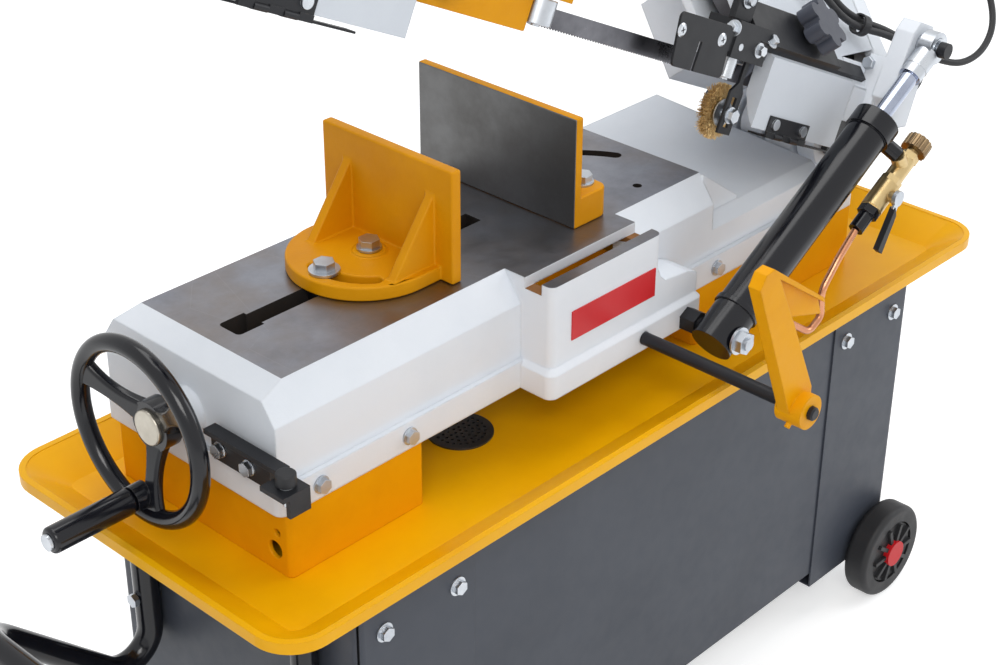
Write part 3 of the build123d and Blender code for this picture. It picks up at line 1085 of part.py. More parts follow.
# coolant nozzle
noz = rod((142, -103, 616), (142, -103, 640), 6)
noz = noz + rod((142, -103, 628), (142, -103, 640), 8)
noz = noz + cone((142, -103, 616.5), (139, -101.5, 604), 6, 3)
noz = noz + bx(134, 142, -120, -103, 629, 635)
save("coolant_nozzle", bow(noz))

# control box on the beam
CB_W = 94.0
CB_X1 = 20.0
STOP_BUTTON_X = -110.0
START_BUTTON_X = -55.0
cb = wbox(-150, CB_X1, BEAM_S0 + 2, BEAM_S1 + 60, RIB_W, CB_W)
cb = fillet(cb.edges(), 5)
CBS = BEAM_S0 + 56
for x, r in ((STOP_BUTTON_X, 12), (START_BUTTON_X, 11)):
    cb = cb - wrod(x, CBS, CB_W - 12, CB_W + 5, r + 0.3)
save("control_box", bow(cb))
stop_b = wrod(STOP_BUTTON_X, CBS, CB_W - 6, CB_W + 8, 12) + wrod(STOP_BUTTON_X, CBS, CB_W + 8, CB_W + 18, 20)
save("stop_button", bow(stop_b))
save("start_button", bow(wrod(START_BUTTON_X, CBS, CB_W - 6, CB_W + 7, 11)))

# hydraulic cylinder
REACH = math.hypot(EYE_X - CYL_X, EYE_Z - CYL_Z)
UX = (EYE_X - CYL_X) / REACH
UZ = (EYE_Z - CYL_Z) / REACH


def cpt(a, p, y):
    # a along the cylinder from the lower pin, p across it (down and right positive), y in space
    return (CYL_X + a * UX + p * UZ, y, CYL_Z + a * UZ - p * UX)


def crod(a0, a1, r, p=0.0, y=CYL_Y):
    return rod(cpt(a0, p, y), cpt(a1, p, y), r)


PIN_R = 8.0
body = crod(CYL_FOOT, CAP_END - 4, CYL_R)
body = body + crod(CAP_END - 22, CAP_END, CAP_R)
body = body + crod(28, 34, CYL_R + 2)
body = body - crod(40, CAP_END - 16, CYL_R - CYL_WALL)
SIDE_SLACK = 2.4
body = body - crod(CAP_END - 20, CAP_END + 5, ROD_R + SIDE_SLACK)
body = body - rod((CYL_X, CYL_Y - 60, CYL_Z), (CYL_X, CYL_Y + 60, CYL_Z), PIN_R + 0.08)
piston = crod(REACH - 18, 150, ROD_R)
piston = piston + crod(150, 166, CYL_R - CYL_WALL - SIDE_SLACK)
piston = piston + crod(REACH - 46, REACH - 34, 13)
eye = rod((EYE_X, CYL_Y - 8, EYE_Z), (EYE_X, CYL_Y + 8, EYE_Z), 18)
eye = eye + crod(REACH - 34, REACH - 10, 13.5)
eye = eye - rod((EYE_X, CYL_Y - 20, EYE_Z), (EYE_X, CYL_Y + 20, EYE_Z), 12)
eye = eye - crod(REACH - 40, REACH - 18, ROD_R)
ebolt = rod((EYE_X, CYL_Y - 9, EYE_Z), (EYE_X, CYL_Y + LUG_GAP - 0.3, EYE_Z), 11.7)
ebolt = ebolt + rod((EYE_X, CYL_Y - 12, EYE_Z), (EYE_X, -122, EYE_Z), EYE_BOLT_R)
ebolt = ebolt + rod((EYE_X, CYL_Y - 21, EYE_Z), (EYE_X, CYL_Y - 11, EYE_Z), 9)
save("cylinder_rod", Compound(children=[piston, eye, ebolt]))
stud = rod((CYL_X, CYL_Y - CYL_R - 15, CYL_Z), (CYL_X, BLOCK_Y0 + 22, CYL_Z), PIN_R - 1.1)
stud = stud + rod((CYL_X, CYL_Y - CYL_R - 3, CYL_Z), (CYL_X, CYL_Y + CYL_R + 3, CYL_Z), PIN_R)
stud = stud + hexbar((CYL_X, BLOCK_Y0 - LEDGE, CYL_Z), (CYL_X, CYL_Y + CYL_R + 2, CYL_Z), 24)
stud = stud + rod((CYL_X, CYL_Y - CYL_R - 0.4, CYL_Z), (CYL_X, CYL_Y - CYL_R - 3, CYL_Z), 15)
stud = stud + hexbar((CYL_X, CYL_Y - CYL_R - 3, CYL_Z), (CYL_X, CYL_Y - CYL_R - 12, CYL_Z), 22)
save("cylinder_stud", stud)

# feed valve line beside the cylinder: tee, needle knob above, ball valve below, copper pipe back to the foot
VY = CYL_Y - VALVE_BACK
TEE_A = 294.0
port = rod(cpt(TEE_A, 16, CYL_Y - 4), cpt(TEE_A, 36, VY), 9)
port = port - crod(200, 400, CAP_R)
port = port + rod(cpt(TEE_A, 35, VY), cpt(TEE_A, VP - 10.8, VY), 9)
tee = crod(272, 304, 10.5, VP, VY) + hexbar(cpt(304, VP, VY), cpt(312, VP, VY), 20)
tee = tee + rod(cpt(TEE_A, VP - 10.8, VY), cpt(TEE_A, VP, VY), 9)
tee = tee + crod(312, 317, 7, VP, VY)
tee = tee + hexbar(cpt(266, VP, VY), cpt(276, VP, VY), 21) + crod(232, 268, 12.5, VP, VY)
tee = tee + hexbar(cpt(231.3, VP, VY), cpt(240, VP, VY), 21)
tee = tee + rod(cpt(LEVER_A, VP, VY), cpt(LEVER_A, VP, VY - 17), 7)
save("valve_body", tee)
vk = crod(317.3, 333, 15, VP, VY)
for i in range(16):
    a = 2 * math.pi * i / 16
    vk = vk - crod(314, 336, 1.6, VP + 15.4 * math.cos(a), VY + 15.4 * math.sin(a))
vk = vk + crod(333, 338, 4, VP, VY)
save("valve_knob", vk)
lever = rod(cpt(LEVER_A, VP, VY - 17.3), cpt(LEVER_A, VP, VY - 22), 9)
root = [(LEVER_A + 4, -5), (LEVER_A - 5, 6), (238, 15), (242, 1)]
lever = lever + prism([cpt(a, VP + p, VY - 22) for a, p in root], (0, 2.6, 0))
sleeve = [(244, 1), (241, 12), (203, 34), (200, 24)]
lever = lever + prism([cpt(a, VP + p, VY - 24) for a, p in sleeve], (0, 7, 0))
save("valve_lever", lever)
fit = hexbar(cpt(222, VP, VY), cpt(231, VP, VY), 21) + crod(201, 223, 8.5, VP, VY)
save("cylinder_body", Compound(children=[body, port, fit]))
pipe_pts = [
    cpt(200.2, VP, VY),
    cpt(165, 62, VY),
    cpt(125, 74, VY),
    cpt(112, 103, VY),
    cpt(88, 102, VY),
    cpt(70, 60, VY + 8),
    cpt(56, CYL_R + 2.4, CYL_Y),
]
save("copper_pipe", tube(pipe_pts, 4, [60, 22, 10, 13, 26]))

# cords on the bow in its rest position: control box to motor, and control box to the switch in the bow's end
def rest(point):
    x = point[0] - PIVOT_X
    z = point[2] - PIVOT_Z
    return (PIVOT_X + x * COS_LIFT + z * SIN_LIFT, point[1], PIVOT_Z - x * SIN_LIFT + z * COS_LIFT)


MOTOR_CORD = [
    (206, 81, 1010.4),
    (235, 80, 997),
    (279, 62, 965),
    (318, 22, 906),
    (341, -28, 835),
    (363, -66, 769),
    (393, -80, 730),
    (429, -84, 707),
    (468, -98, 692),
    (494, -116, 672),
    (520, -134, 657),
    (556, -146, 644),
    (600, -148, 650),
    (635, -138, 675),
    (652, -108, 716),
    (652, -54, 742),
    (638, 16, 742),
    (622, 83, 721),
    (601, 132, 695),
    (578, 156, 686),
    (556, 168, 688),
    (536, 170.7, 695.5),
]
SWITCH_CORD = [
    (212.5, 96, 1023.9),
    (241, 95, 1010),
    (287, 76, 977),
    (328, 34, 914),
    (353, -16, 841),
    (376, -56, 774),
    (406, -72, 733),
    (441, -77, 710),
    (475, -88, 694),
    (502, -100, 675),
    (524, -106, 655),
    (537, -106, 633),
    (538, -102, 611),
    (527, -94, 598),
    (510, -87, 597),
    (495.9, -86, 602.9),
]
save("conduits", Compound(children=[tube(line, CORD_R, fan(line)) for line in (MOTOR_CORD, SWITCH_CORD)]))


# each gland goes from the face it is screwed into to the point where the cord leaves it
GLAND_ENDS = [
    ((CB_X1, 81, 872), (CB_X1 + GLAND_L, 81, 872)),
    ((CB_X1, 96, 887), (CB_X1 + GLAND_L, 96, 887)),
    ((TB0 + 42, 170.7, 729.8), (TB0 + 42 + GLAND_L, 170.7, 729.8)),
    ((BOW_X1, -86, 629), (BOW_X1 + GLAND_L, -86, 629)),
]
save("cord_glands", Compound(children=[rod(rest(a), rest(b), GLAND_R) for a, b in GLAND_ENDS]))
print("nodes", len(os.listdir("parts")))
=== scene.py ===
# %% [markdown]
# This lesson dresses a metal cutting band saw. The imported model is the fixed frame: its solids
# have their real sizes and places already, so each step here gives a surface its finish, softens
# the edges that would look razor sharp, or adds what a solid model leaves out: cords that follow
# a smooth line, the wires of the brush, small screws.

# %% Load the frame
import math
import random

import bmesh
import bpy
from mathutils import Matrix, Vector


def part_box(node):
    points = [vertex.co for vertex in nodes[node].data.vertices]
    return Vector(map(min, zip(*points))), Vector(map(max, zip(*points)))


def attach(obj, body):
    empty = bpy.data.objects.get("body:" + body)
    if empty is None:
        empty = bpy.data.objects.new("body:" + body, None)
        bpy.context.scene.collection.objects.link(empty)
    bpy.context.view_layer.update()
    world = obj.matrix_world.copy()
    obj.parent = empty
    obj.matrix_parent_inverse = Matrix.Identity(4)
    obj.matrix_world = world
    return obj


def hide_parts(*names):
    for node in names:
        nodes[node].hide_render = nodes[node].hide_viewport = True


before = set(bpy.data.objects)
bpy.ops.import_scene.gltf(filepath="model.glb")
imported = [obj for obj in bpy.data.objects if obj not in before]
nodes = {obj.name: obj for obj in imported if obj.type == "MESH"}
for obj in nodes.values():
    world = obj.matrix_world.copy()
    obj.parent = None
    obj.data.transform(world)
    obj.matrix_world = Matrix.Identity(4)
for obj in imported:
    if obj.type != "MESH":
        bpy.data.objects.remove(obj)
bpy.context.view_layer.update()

# %% [markdown]
# The camera stands at the left front of the machine, about two metres from the table, and looks
# down by thirty degrees. Its place and lens were found by lining up the tray, the table and the
# stand with the picture. A camera's axes are right, up and backwards, so its matrix is built
# from those three directions. DATUM is the way from the bed's own zero to the frame's zero.

# %% Camera
DATUM = Vector((-0.00475, 0.017157, 0.038))
EYE = Vector((-1.3434, -1.1990, 1.4909)) + DATUM
TURN = math.radians(-46.776)
DIP = math.radians(29.849)
ROLL = math.radians(0.309)
LENS_MM = 69.84
SENSOR_MM = 36.0
FARTHEST_M = 50.0

backward = Vector((math.sin(TURN) * math.cos(DIP), -math.cos(TURN) * math.cos(DIP), math.sin(DIP)))
level = Vector((math.cos(TURN), math.sin(TURN), 0.0))
upward = level.cross(-backward)
right = level * math.cos(ROLL) + upward * math.sin(ROLL)
top = upward * math.cos(ROLL) - level * math.sin(ROLL)
lens = bpy.data.cameras.new("camera")
lens.lens = LENS_MM
lens.sensor_width = SENSOR_MM
lens.clip_end = FARTHEST_M
camera = bpy.data.objects.new("camera", lens)
bpy.context.collection.objects.link(camera)
axes = Matrix((right, top, backward)).transposed().to_4x4()
camera.matrix_world = Matrix.Translation(EYE) @ axes
bpy.context.scene.camera = camera
print("camera", tuple(round(v, 3) for v in camera.location))

# %% [markdown]
# Two rubber cords hang along the bow. A cord has one smooth line, so each is a single NURBS spline
# whose control points are the route's own points, with a round bevel for the rubber. The order is
# set after the points are added, or the line would stay a row of straight runs. The bevel is one
# metre deep and each point's radius scales it down to the cord, so that the curve's box, which
# grows by the largest radius, stays close to the rubber.

# %% Cords
CORD_WIDTH = 0.008
CORD_ROUNDNESS = 4
CORD_STEPS = 10
MOTOR_ROUTE = [
    (0.206, 0.081, 1.0104),
    (0.235, 0.080, 0.997),
    (0.279, 0.062, 0.965),
    (0.318, 0.022, 0.906),
    (0.341, -0.028, 0.835),
    (0.363, -0.066, 0.769),
    (0.393, -0.080, 0.730),
    (0.429, -0.084, 0.707),
    (0.468, -0.098, 0.692),
    (0.494, -0.116, 0.672),
    (0.520, -0.134, 0.657),
    (0.556, -0.146, 0.644),
    (0.600, -0.148, 0.650),
    (0.635, -0.138, 0.675),
    (0.652, -0.108, 0.716),
    (0.652, -0.054, 0.742),
    (0.638, 0.016, 0.742),
    (0.622, 0.083, 0.721),
    (0.601, 0.132, 0.695),
    (0.578, 0.156, 0.686),
    (0.556, 0.168, 0.688),
    (0.536, 0.1707, 0.6955),
]
SWITCH_ROUTE = [
    (0.2125, 0.096, 1.0239),
    (0.241, 0.095, 1.010),
    (0.287, 0.076, 0.977),
    (0.328, 0.034, 0.914),
    (0.353, -0.016, 0.841),
    (0.376, -0.056, 0.774),
    (0.406, -0.072, 0.733),
    (0.441, -0.077, 0.710),
    (0.475, -0.088, 0.694),
    (0.502, -0.100, 0.675),
    (0.524, -0.106, 0.655),
    (0.537, -0.106, 0.633),
    (0.538, -0.102, 0.611),
    (0.527, -0.094, 0.598),
    (0.510, -0.087, 0.597),
    (0.4959, -0.086, 0.6029),
]


def rubber_cord(name, route):
    curve = bpy.data.curves.new(name, "CURVE")
    curve.dimensions = "3D"
    curve.bevel_depth = 1.0
    curve.bevel_resolution = CORD_ROUNDNESS
    curve.resolution_u = CORD_STEPS
    curve.use_fill_caps = True
    line = curve.splines.new("NURBS")
    line.points.add(len(route) - 1)
    for point, place in zip(line.points, route):
        point.co = (*(Vector(place) + DATUM), 1.0)
        point.radius = CORD_WIDTH / 2
    line.order_u = 3
    line.use_endpoint_u = True
    made = bpy.data.objects.new(name, curve)
    bpy.context.collection.objects.link(made)
    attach(made, "bow")
    print("cord", name, len(route), "points")
    return made


motor_cord = rubber_cord("motor_cord", MOTOR_ROUTE)
switch_cord = rubber_cord("switch_cord", SWITCH_ROUTE)
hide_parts("conduits")

# %% [markdown]
# A studio shot has a white sweep behind the object and large soft lamps. The world is white to the
# camera and to reflections, and dimmer as a lamp. The floor adds a little glow of its own for the
# same rays: lit floor reaches white, and the object's shadow on it stays.

# %% Floor, world and lamps
SKY_TINT = (0.95, 0.975, 1.0, 1.0)
SKY_LIGHT = 0.55
FLOOR_HALF = 9.0
FLOOR_TONE = (0.85, 0.85, 0.85, 1.0)
FLOOR_ROUGHNESS = 0.8
FLOOR_GLOW = 0.5

scene = bpy.context.scene
scene.view_settings.view_transform = "Standard"


def seen_rays(tree):
    # 1 for camera, mirror and glass rays, 0 for the rays that only carry light
    path = tree.nodes.new("ShaderNodeLightPath")
    first = tree.nodes.new("ShaderNodeMath")
    first.operation = "MAXIMUM"
    tree.links.new(path.outputs["Is Camera Ray"], first.inputs[0])
    tree.links.new(path.outputs["Is Glossy Ray"], first.inputs[1])
    both = tree.nodes.new("ShaderNodeMath")
    both.operation = "MAXIMUM"
    tree.links.new(first.outputs[0], both.inputs[0])
    tree.links.new(path.outputs["Is Transmission Ray"], both.inputs[1])
    return both.outputs[0]


world = bpy.data.worlds.new("studio")
scene.world = world
world.use_nodes = True
sky = world.node_tree
sky.nodes.clear()
out = sky.nodes.new("ShaderNodeOutputWorld")
soft = sky.nodes.new("ShaderNodeBackground")
soft.inputs["Color"].default_value = SKY_TINT
soft.inputs["Strength"].default_value = SKY_LIGHT
white = sky.nodes.new("ShaderNodeBackground")
white.inputs["Color"].default_value = (1.0, 1.0, 1.0, 1.0)
white.inputs["Strength"].default_value = 1.0
mix = sky.nodes.new("ShaderNodeMixShader")
sky.links.new(seen_rays(sky), mix.inputs["Fac"])
sky.links.new(soft.outputs[0], mix.inputs[1])
sky.links.new(white.outputs[0], mix.inputs[2])
sky.links.new(mix.outputs[0], out.inputs["Surface"])


def lamp(name, place, aim, size, watts, tint):
    data = bpy.data.lights.new(name, "AREA")
    data.shape = "RECTANGLE"
    data.size = size[0]
    data.size_y = size[1]
    data.energy = watts
    data.color = tint
    obj = bpy.data.objects.new(name, data)
    bpy.context.collection.objects.link(obj)
    look = (Vector(aim) - Vector(place)).to_track_quat("-Z", "Y")
    obj.matrix_world = Matrix.Translation(place) @ look.to_matrix().to_4x4()


lamp("key_lamp", (-1.9, -2.0, 2.7), (0.0, 0.0, 0.5), (1.6, 1.2), 40.0, (1.0, 0.99, 0.97))
lamp("top_lamp", (0.2, 0.3, 3.2), (0.0, 0.0, 0.6), (2.4, 1.8), 36.0, (1.0, 1.0, 1.0))
lamp("side_lamp", (2.6, -1.6, 1.7), (0.2, 0.0, 0.5), (1.2, 1.8), 20.0, (0.95, 0.975, 1.0))

floor_mesh = bpy.data.meshes.new("floor")
bm = bmesh.new()
bmesh.ops.create_grid(bm, x_segments=1, y_segments=1, size=FLOOR_HALF)
bm.to_mesh(floor_mesh)
bm.free()
floor = bpy.data.objects.new("floor", floor_mesh)
bpy.context.collection.objects.link(floor)
floor_mat = bpy.data.materials.new("floor_white")
floor_mat.use_nodes = True
ground = floor_mat.node_tree
board = ground.nodes["Principled BSDF"]
board.inputs["Base Color"].default_value = FLOOR_TONE
board.inputs["Roughness"].default_value = FLOOR_ROUGHNESS
glow = ground.nodes.new("ShaderNodeEmission")
level_of_glow = ground.nodes.new("ShaderNodeMath")
level_of_glow.operation = "MULTIPLY"
level_of_glow.inputs[1].default_value = FLOOR_GLOW
ground.links.new(seen_rays(ground), level_of_glow.inputs[0])
ground.links.new(level_of_glow.outputs[0], glow.inputs["Strength"])
added = ground.nodes.new("ShaderNodeAddShader")
ground.links.new(board.outputs[0], added.inputs[0])
ground.links.new(glow.outputs[0], added.inputs[1])
ground.links.new(added.outputs[0], ground.nodes["Material Output"].inputs["Surface"])
floor_mesh.materials.append(floor_mat)


# %% [markdown]
# Every finish starts from the Principled shader. The helper below makes the material, the texture
# coordinate in Object space and the shader, and hands back small functions for adding nodes. Its
# bump also reads a Bevel node, which bends the normal near an edge: a casting's edges then catch
# the light as if they were rounded by the sand mould and the paint.

# %% Material helper
BEVEL_SAMPLES = 4


class Finish:
    def __init__(self, name, edge, metallic=0.0, **plain):
        self.mat = bpy.data.materials.new(name)
        self.mat.use_nodes = True
        self.tree = self.mat.node_tree
        self.shader = self.tree.nodes["Principled BSDF"]
        self.shader.inputs["Metallic"].default_value = metallic
        for key, value in plain.items():
            self.shader.inputs[key.replace("_", " ")].default_value = value
        self.place = self.tree.nodes.new("ShaderNodeTexCoord").outputs["Object"]
        corner = self.node("ShaderNodeBevel", Radius=edge, samples=BEVEL_SAMPLES)
        self.rounded = corner.outputs["Normal"]

    def node(self, kind, **settings):
        made = self.tree.nodes.new(kind)
        for key, value in settings.items():
            if key in made.inputs:
                made.inputs[key].default_value = value
            else:
                setattr(made, key, value)
        return made

    def link(self, source, target):
        self.tree.links.new(source, target)

    def group(self, tree, **values):
        made = self.tree.nodes.new("ShaderNodeGroup")
        made.node_tree = tree
        for key, value in values.items():
            made.inputs[key].default_value = value
        self.link(self.place, made.inputs["Place"])
        return made

    def mix(self, factor, first, second):
        made = self.node("ShaderNodeMix", data_type="RGBA")
        self.link(factor, made.inputs["Factor"])
        for socket, value in ((made.inputs["A"], first), (made.inputs["B"], second)):
            if isinstance(value, tuple):
                socket.default_value = value
            else:
                self.link(value, socket)
        return made.outputs["Result"]

    def span(self, value, low, high, to_low=0.0, to_high=1.0):
        made = self.node("ShaderNodeMapRange")
        ends = {"From Min": low, "From Max": high, "To Min": to_low, "To Max": to_high}
        for key, number in ends.items():
            made.inputs[key].default_value = number
        self.link(value, made.inputs["Value"])
        return made.outputs["Result"]

    def bump(self, height, strength, distance):
        made = self.node("ShaderNodeBump", Strength=strength, Distance=distance)
        self.link(height, made.inputs["Height"])
        self.link(self.rounded, made.inputs["Normal"])
        self.link(made.outputs["Normal"], self.shader.inputs["Normal"])


def colour(r, g, b):
    # from screen values of 0 to 255 to the linear values that the shader takes
    def one(v):
        v = v / 255.0
        return v / 12.92 if v <= 0.04045 else ((v + 0.055) / 1.055) ** 2.4
    return (one(r), one(g), one(b), 1.0)


# %% [markdown]
# Four effects come back in many finishes, so each is a node group: the pebbled skin of sprayed
# paint, the slow drift of tone that dust and handling leave, the fine lines of machining, and
# broken lighter flecks along edges. The last one compares the true normal with the finish's rounded
# normal, which differ only near an edge.

# %% Shared effects
def effect(name, inputs, outputs):
    tree = bpy.data.node_groups.new(name, "ShaderNodeTree")
    tree.interface.new_socket("Place", in_out="INPUT", socket_type="NodeSocketVector")
    for key, value in inputs.items():
        made = tree.interface.new_socket(key, in_out="INPUT", socket_type="NodeSocketFloat")
        made.default_value = value
    for key in outputs:
        tree.interface.new_socket(key, in_out="OUTPUT", socket_type="NodeSocketFloat")
    return tree, tree.nodes.new("NodeGroupInput"), tree.nodes.new("NodeGroupOutput")


def noise_into(tree, ins, scale, detail, rough):
    made = tree.nodes.new("ShaderNodeTexNoise")
    made.inputs["Detail"].default_value = detail
    made.inputs["Roughness"].default_value = rough
    tree.links.new(ins.outputs["Place"], made.inputs["Vector"])
    tree.links.new(ins.outputs[scale], made.inputs["Scale"])
    return made


def ranged(tree, value, low, high):
    made = tree.nodes.new("ShaderNodeMapRange")
    made.inputs["From Min"].default_value = low
    made.inputs["From Max"].default_value = high
    tree.links.new(value, made.inputs["Value"])
    return made.outputs["Result"]


def maths(tree, operation, first, second):
    made = tree.nodes.new("ShaderNodeMath")
    made.operation = operation
    for socket, value in zip(made.inputs, (first, second)):
        if isinstance(value, float):
            socket.default_value = value
        else:
            tree.links.new(value, socket)
    return made.outputs[0]


PEBBLE_SHARE = 0.55
paint_skin, ins, outs = effect("paint_skin", {"Pebble": 420.0, "Wave": 60.0}, ["Height", "Mask"])
fine = noise_into(paint_skin, ins, "Pebble", 2.0, 0.5)
broad = noise_into(paint_skin, ins, "Wave", 2.0, 0.5)
pebbles = maths(paint_skin, "MULTIPLY", fine.outputs["Fac"], PEBBLE_SHARE)
paint_skin.links.new(maths(paint_skin, "ADD", pebbles, broad.outputs["Fac"]), outs.inputs["Height"])
paint_skin.links.new(broad.outputs["Fac"], outs.inputs["Mask"])

tone_drift, ins, outs = effect("tone_drift", {"Cloud": 9.0}, ["Drift"])
cloud = noise_into(tone_drift, ins, "Cloud", 5.0, 0.6)
tone_drift.links.new(ranged(tone_drift, cloud.outputs["Fac"], 0.42, 0.78), outs.inputs["Drift"])

tool_marks, ins, outs = effect("tool_marks", {"Along": 6.0, "Across": 900.0}, ["Line", "Smear"])
stretch = tool_marks.nodes.new("ShaderNodeCombineXYZ")
tool_marks.links.new(ins.outputs["Along"], stretch.inputs["X"])
tool_marks.links.new(ins.outputs["Across"], stretch.inputs["Y"])
tool_marks.links.new(ins.outputs["Across"], stretch.inputs["Z"])
scaled = tool_marks.nodes.new("ShaderNodeVectorMath")
scaled.operation = "MULTIPLY"
tool_marks.links.new(ins.outputs["Place"], scaled.inputs[0])
tool_marks.links.new(stretch.outputs[0], scaled.inputs[1])
line = tool_marks.nodes.new("ShaderNodeTexNoise")
line.inputs["Scale"].default_value = 1.0
line.inputs["Detail"].default_value = 4.0
tool_marks.links.new(scaled.outputs[0], line.inputs["Vector"])
smear = tool_marks.nodes.new("ShaderNodeTexNoise")
smear.inputs["Scale"].default_value = 22.0
smear.inputs["Detail"].default_value = 6.0
smear.inputs["Roughness"].default_value = 0.65
tool_marks.links.new(ins.outputs["Place"], smear.inputs["Vector"])
tool_marks.links.new(line.outputs["Fac"], outs.inputs["Line"])
tool_marks.links.new(ranged(tool_marks, smear.outputs["Fac"], 0.35, 0.7), outs.inputs["Smear"])

edge_flecks, ins, outs = effect("edge_flecks", {"Chips": 160.0}, ["Chip"])
edge_flecks.interface.new_socket("Rounded", in_out="INPUT", socket_type="NodeSocketVector")
flat = edge_flecks.nodes.new("ShaderNodeNewGeometry")
agree = edge_flecks.nodes.new("ShaderNodeVectorMath")
agree.operation = "DOT_PRODUCT"
edge_flecks.links.new(ins.outputs["Rounded"], agree.inputs[0])
edge_flecks.links.new(flat.outputs["Normal"], agree.inputs[1])
near_edge = ranged(edge_flecks, agree.outputs["Value"], 0.985, 0.8)
fleck_noise = noise_into(edge_flecks, ins, "Chips", 4.0, 0.65)
broken = ranged(edge_flecks, fleck_noise.outputs["Fac"], 0.52, 0.62)
edge_flecks.links.new(maths(edge_flecks, "MULTIPLY", near_edge, broken), outs.inputs["Chip"])
print("effects", [g.name for g in bpy.data.node_groups])


# %% [markdown]
# Paint on castings is sprayed thick over rough iron: it is glossy but pebbled. Sheet parts have a
# smoother powder coat. One function makes both, with the pebble height as the difference. Along
# edges a third, lighter tone shows in broken flecks.

# %% Paints
SKIN_HEIGHT = 0.0004
SMOOTHEST = 0.8
ROUGHEST = 1.3


def paint(name, base, dark, edge_tone, gloss, pebble, depth, shine, edge=0.001):
    made = Finish(name, edge, Specular_IOR_Level=shine)
    skin = made.group(paint_skin, Pebble=pebble)
    drift = made.group(tone_drift)
    edge_fleck = made.group(edge_flecks)
    made.link(made.rounded, edge_fleck.inputs["Rounded"])
    body = made.mix(drift.outputs["Drift"], base, dark)
    made.link(made.mix(edge_fleck.outputs["Chip"], body, edge_tone), made.shader.inputs["Base Color"])
    rough = made.span(skin.outputs["Mask"], 0.0, 1.0, gloss * SMOOTHEST, gloss * ROUGHEST)
    made.link(rough, made.shader.inputs["Roughness"])
    made.bump(skin.outputs["Height"], depth, SKIN_HEIGHT)
    return made


cast_white = paint("cast_white", colour(226, 230, 236), colour(219, 224, 231), colour(234, 237, 240),
                   gloss=0.45, pebble=520.0, depth=0.5, shine=0.3, edge=0.003)
sheet_white = paint("sheet_white", colour(210, 215, 222), colour(203, 208, 216), colour(224, 227, 231),
                    gloss=0.4, pebble=700.0, depth=0.3, shine=0.3)
cast_yellow = paint("cast_yellow", colour(234, 163, 2), colour(222, 148, 2), colour(240, 182, 30),
                    gloss=0.42, pebble=420.0, depth=0.6, shine=0.15, edge=0.002)
jaw_yellow = paint("jaw_yellow", colour(222, 151, 4), colour(206, 134, 4), colour(232, 172, 34),
                   gloss=0.42, pebble=360.0, depth=0.8, shine=0.15, edge=0.001)
sheet_yellow = paint("sheet_yellow", colour(242, 178, 1), colour(234, 166, 1), colour(246, 192, 20),
                     gloss=0.3, pebble=800.0, depth=0.12, shine=0.2)
cabinet_grey = paint("cabinet_grey", colour(66, 70, 79), colour(59, 63, 72), colour(92, 96, 105),
                     gloss=0.4, pebble=900.0, depth=0.1, shine=0.25)
black_gloss = paint("black_gloss", colour(14, 15, 21), colour(19, 20, 27), colour(48, 50, 60),
                    gloss=0.16, pebble=500.0, depth=0.05, shine=0.4)
black_satin = paint("black_satin", colour(26, 27, 31), colour(34, 35, 39), colour(78, 72, 66),
                    gloss=0.42, pebble=800.0, depth=0.2, shine=0.3)
black_plastic = paint("black_plastic", colour(62, 65, 75), colour(70, 73, 84), colour(96, 99, 110),
                      gloss=0.45, pebble=1100.0, depth=0.25, shine=0.4)
rubber = paint("rubber", colour(36, 36, 38), colour(46, 46, 48), colour(60, 60, 62),
               gloss=0.5, pebble=900.0, depth=0.3, shine=0.35)
red_plastic = paint("red_plastic", colour(206, 30, 38), colour(190, 24, 32), colour(222, 70, 74),
                    gloss=0.36, pebble=900.0, depth=0.1, shine=0.2)
red_plate = paint("red_plate", colour(202, 38, 44), colour(192, 30, 36), colour(214, 70, 74),
                  gloss=0.34, pebble=1200.0, depth=0.05, shine=0.3, edge=0.0003)
green_plastic = paint("green_plastic", colour(24, 120, 60), colour(20, 105, 50), colour(70, 150, 96),
                      gloss=0.35, pebble=900.0, depth=0.1, shine=0.3)
print("paints", [m.name for m in bpy.data.materials])


# %% [markdown]
# Bare metals differ in tone, in polish and in how much the tool's lines show. The group of tool
# marks gives the lines, and a slow smear of oil changes tone and polish.

# %% Metals
MARK_HEIGHT = 0.0002
METAL_EDGE = 0.0006


def metal(name, base, dark, low, high, along, across, depth):
    made = Finish(name, METAL_EDGE, metallic=1.0)
    marks = made.group(tool_marks, Along=along, Across=across)
    made.link(made.mix(marks.outputs["Smear"], base, dark), made.shader.inputs["Base Color"])
    rough = made.span(marks.outputs["Smear"], 0.0, 1.0, low, high)
    made.link(rough, made.shader.inputs["Roughness"])
    made.bump(marks.outputs["Line"], depth, MARK_HEIGHT)
    return made


dark_steel = metal("dark_steel", colour(92, 92, 96), colour(74, 74, 78),
                   low=0.34, high=0.5, along=12.0, across=700.0, depth=0.18)
jaw_steel = metal("jaw_steel", colour(112, 112, 112), colour(100, 99, 98),
                  low=0.4, high=0.5, along=300.0, across=300.0, depth=0.2)
zinc = metal("zinc", colour(202, 206, 211), colour(172, 177, 184),
             low=0.26, high=0.42, along=300.0, across=300.0, depth=0.12)
chrome = metal("chrome", colour(176, 183, 200), colour(150, 157, 174),
               low=0.08, high=0.2, along=300.0, across=300.0, depth=0.03)
brushed_cap = metal("brushed_cap", colour(196, 190, 178), colour(172, 166, 154),
                    low=0.3, high=0.42, along=500.0, across=500.0, depth=0.2)
brass = metal("brass", colour(212, 190, 144), colour(186, 160, 112),
              low=0.26, high=0.42, along=400.0, across=400.0, depth=0.15)
knob_brass = metal("knob_brass", colour(150, 128, 98), colour(122, 102, 78),
                   low=0.3, high=0.46, along=400.0, across=400.0, depth=0.15)
wire_gold = metal("wire_gold", colour(236, 208, 154), colour(200, 166, 108),
                  low=0.34, high=0.55, along=300.0, across=300.0, depth=0.1)
copper = metal("copper", colour(206, 148, 114), colour(184, 124, 92),
               low=0.22, high=0.38, along=200.0, across=200.0, depth=0.1)
